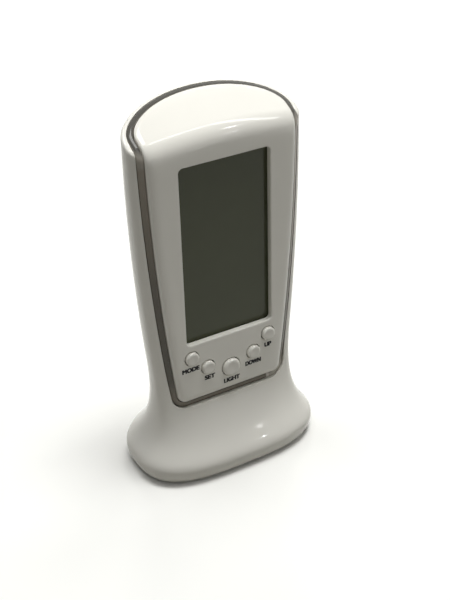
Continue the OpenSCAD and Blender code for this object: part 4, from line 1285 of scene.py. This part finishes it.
LAMP_COLOUR = (1.0, 1.0, 0.99)
PANE_Z = 1.0
PANE = 0.3
PANES = {
    "over": (0.13, -0.02, 5.3),
    "back_left": (-0.15, 0.25, 2.6),
    "back_right": (0.45, 0.3, 2.0),
    "rear": (0.5, 0.9, 3.2),
}
MIRRORED_PANE = "back_left"
TUBE_DROP = 0.05
TUBE_Z = PANE_Z - TUBE_DROP
TUBE_W = 0.06
TUBE_GLOW = 24.0
TUBES = [((0.08, -0.04), (0.40, 0.0)), ((0.40, 0.0), (0.76, -0.60)), ((-0.38, 0.10), (-0.36, -0.60))]
SPOT = 0.03
SPOTS = [((0.42, -0.45, 0.76), 0.25), ((0.55, -0.89, 0.64), 0.08)]
SPOT_AIM = Vector((0, 0, 0.05))


def lamp(name, place, facing, along, size, power):
    """Rectangular lamp that faces a direction, with its first side along another."""
    light = bpy.data.lights.new(name, "AREA")
    light.energy = power
    light.color = LAMP_COLOUR
    light.shape = "RECTANGLE"
    light.size, light.size_y = size
    made = linked(name, light)
    back = -facing.normalized()
    side = (along - back * along.dot(back)).normalized()
    turn = Matrix((side, back.cross(side), back)).transposed().to_4x4()
    made.matrix_world = Matrix.Translation(place) @ turn
    return made


DOWN = Vector((0, 0, -1))
SIDEWAYS = Vector((1, 0, 0))
for name, (x, y, power) in PANES.items():
    pane = lamp(name, (x, y, PANE_Z), DOWN, SIDEWAYS, (PANE, PANE), power)
    pane.visible_glossy = name == MIRRORED_PANE
for ends in TUBES:
    start, end = (Vector((*place, TUBE_Z)) for place in ends)
    length = (end - start).length
    lamp("tube", (start + end) / 2, DOWN, end - start, (length, TUBE_W), length * TUBE_W * TUBE_GLOW)
for place, power in SPOTS:
    lamp("spot", place, SPOT_AIM - Vector(place), SIDEWAYS, (SPOT, SPOT), power)


# World: white to the eye and in reflections, and nearly dark as a light

WORLD_LIGHT = (0.012, 0.012, 0.011)
WORLD_SHOWN = (1, 1, 1)
world = bpy.data.worlds.new("studio")
world.use_nodes = True
bpy.context.scene.world = world
sky = {"Factor": seen_share(world.node_tree), "A": (*WORLD_LIGHT, 1), "B": (*WORLD_SHOWN, 1)}
sky_colour = add(world.node_tree, "ShaderNodeMix", sky, data_type="RGBA")["Result"]
fill(world.node_tree, world.node_tree.nodes["Background"], {"Color": sky_colour})


# Camera: to the left of the front and above, aimed at the column's middle; its lens is in millimetres too

CAMERA_AIM = Vector((0, -5.36, 63.26))
CAMERA_FAR = 391.84
CAMERA_TURN = math.radians(30.14)
CAMERA_DIP = math.radians(33.85)
CAMERA_LENS = 69.0
CAMERA_CLIP = 10

view = bpy.data.cameras.new("camera")
view.lens = CAMERA_LENS
view.clip_start = CAMERA_CLIP * MM
camera = linked("camera", view)
look = Matrix.Rotation(-CAMERA_TURN, 4, "Z") @ Matrix.Rotation(QUARTER - CAMERA_DIP, 4, "X")
back_off = Matrix.Translation(Vector((0, 0, CAMERA_FAR)) * MM)
camera.matrix_world = Matrix.Translation(CAMERA_AIM * MM) @ look @ back_off
bpy.context.scene.camera = camera
bpy.context.scene.view_settings.view_transform = "Standard"
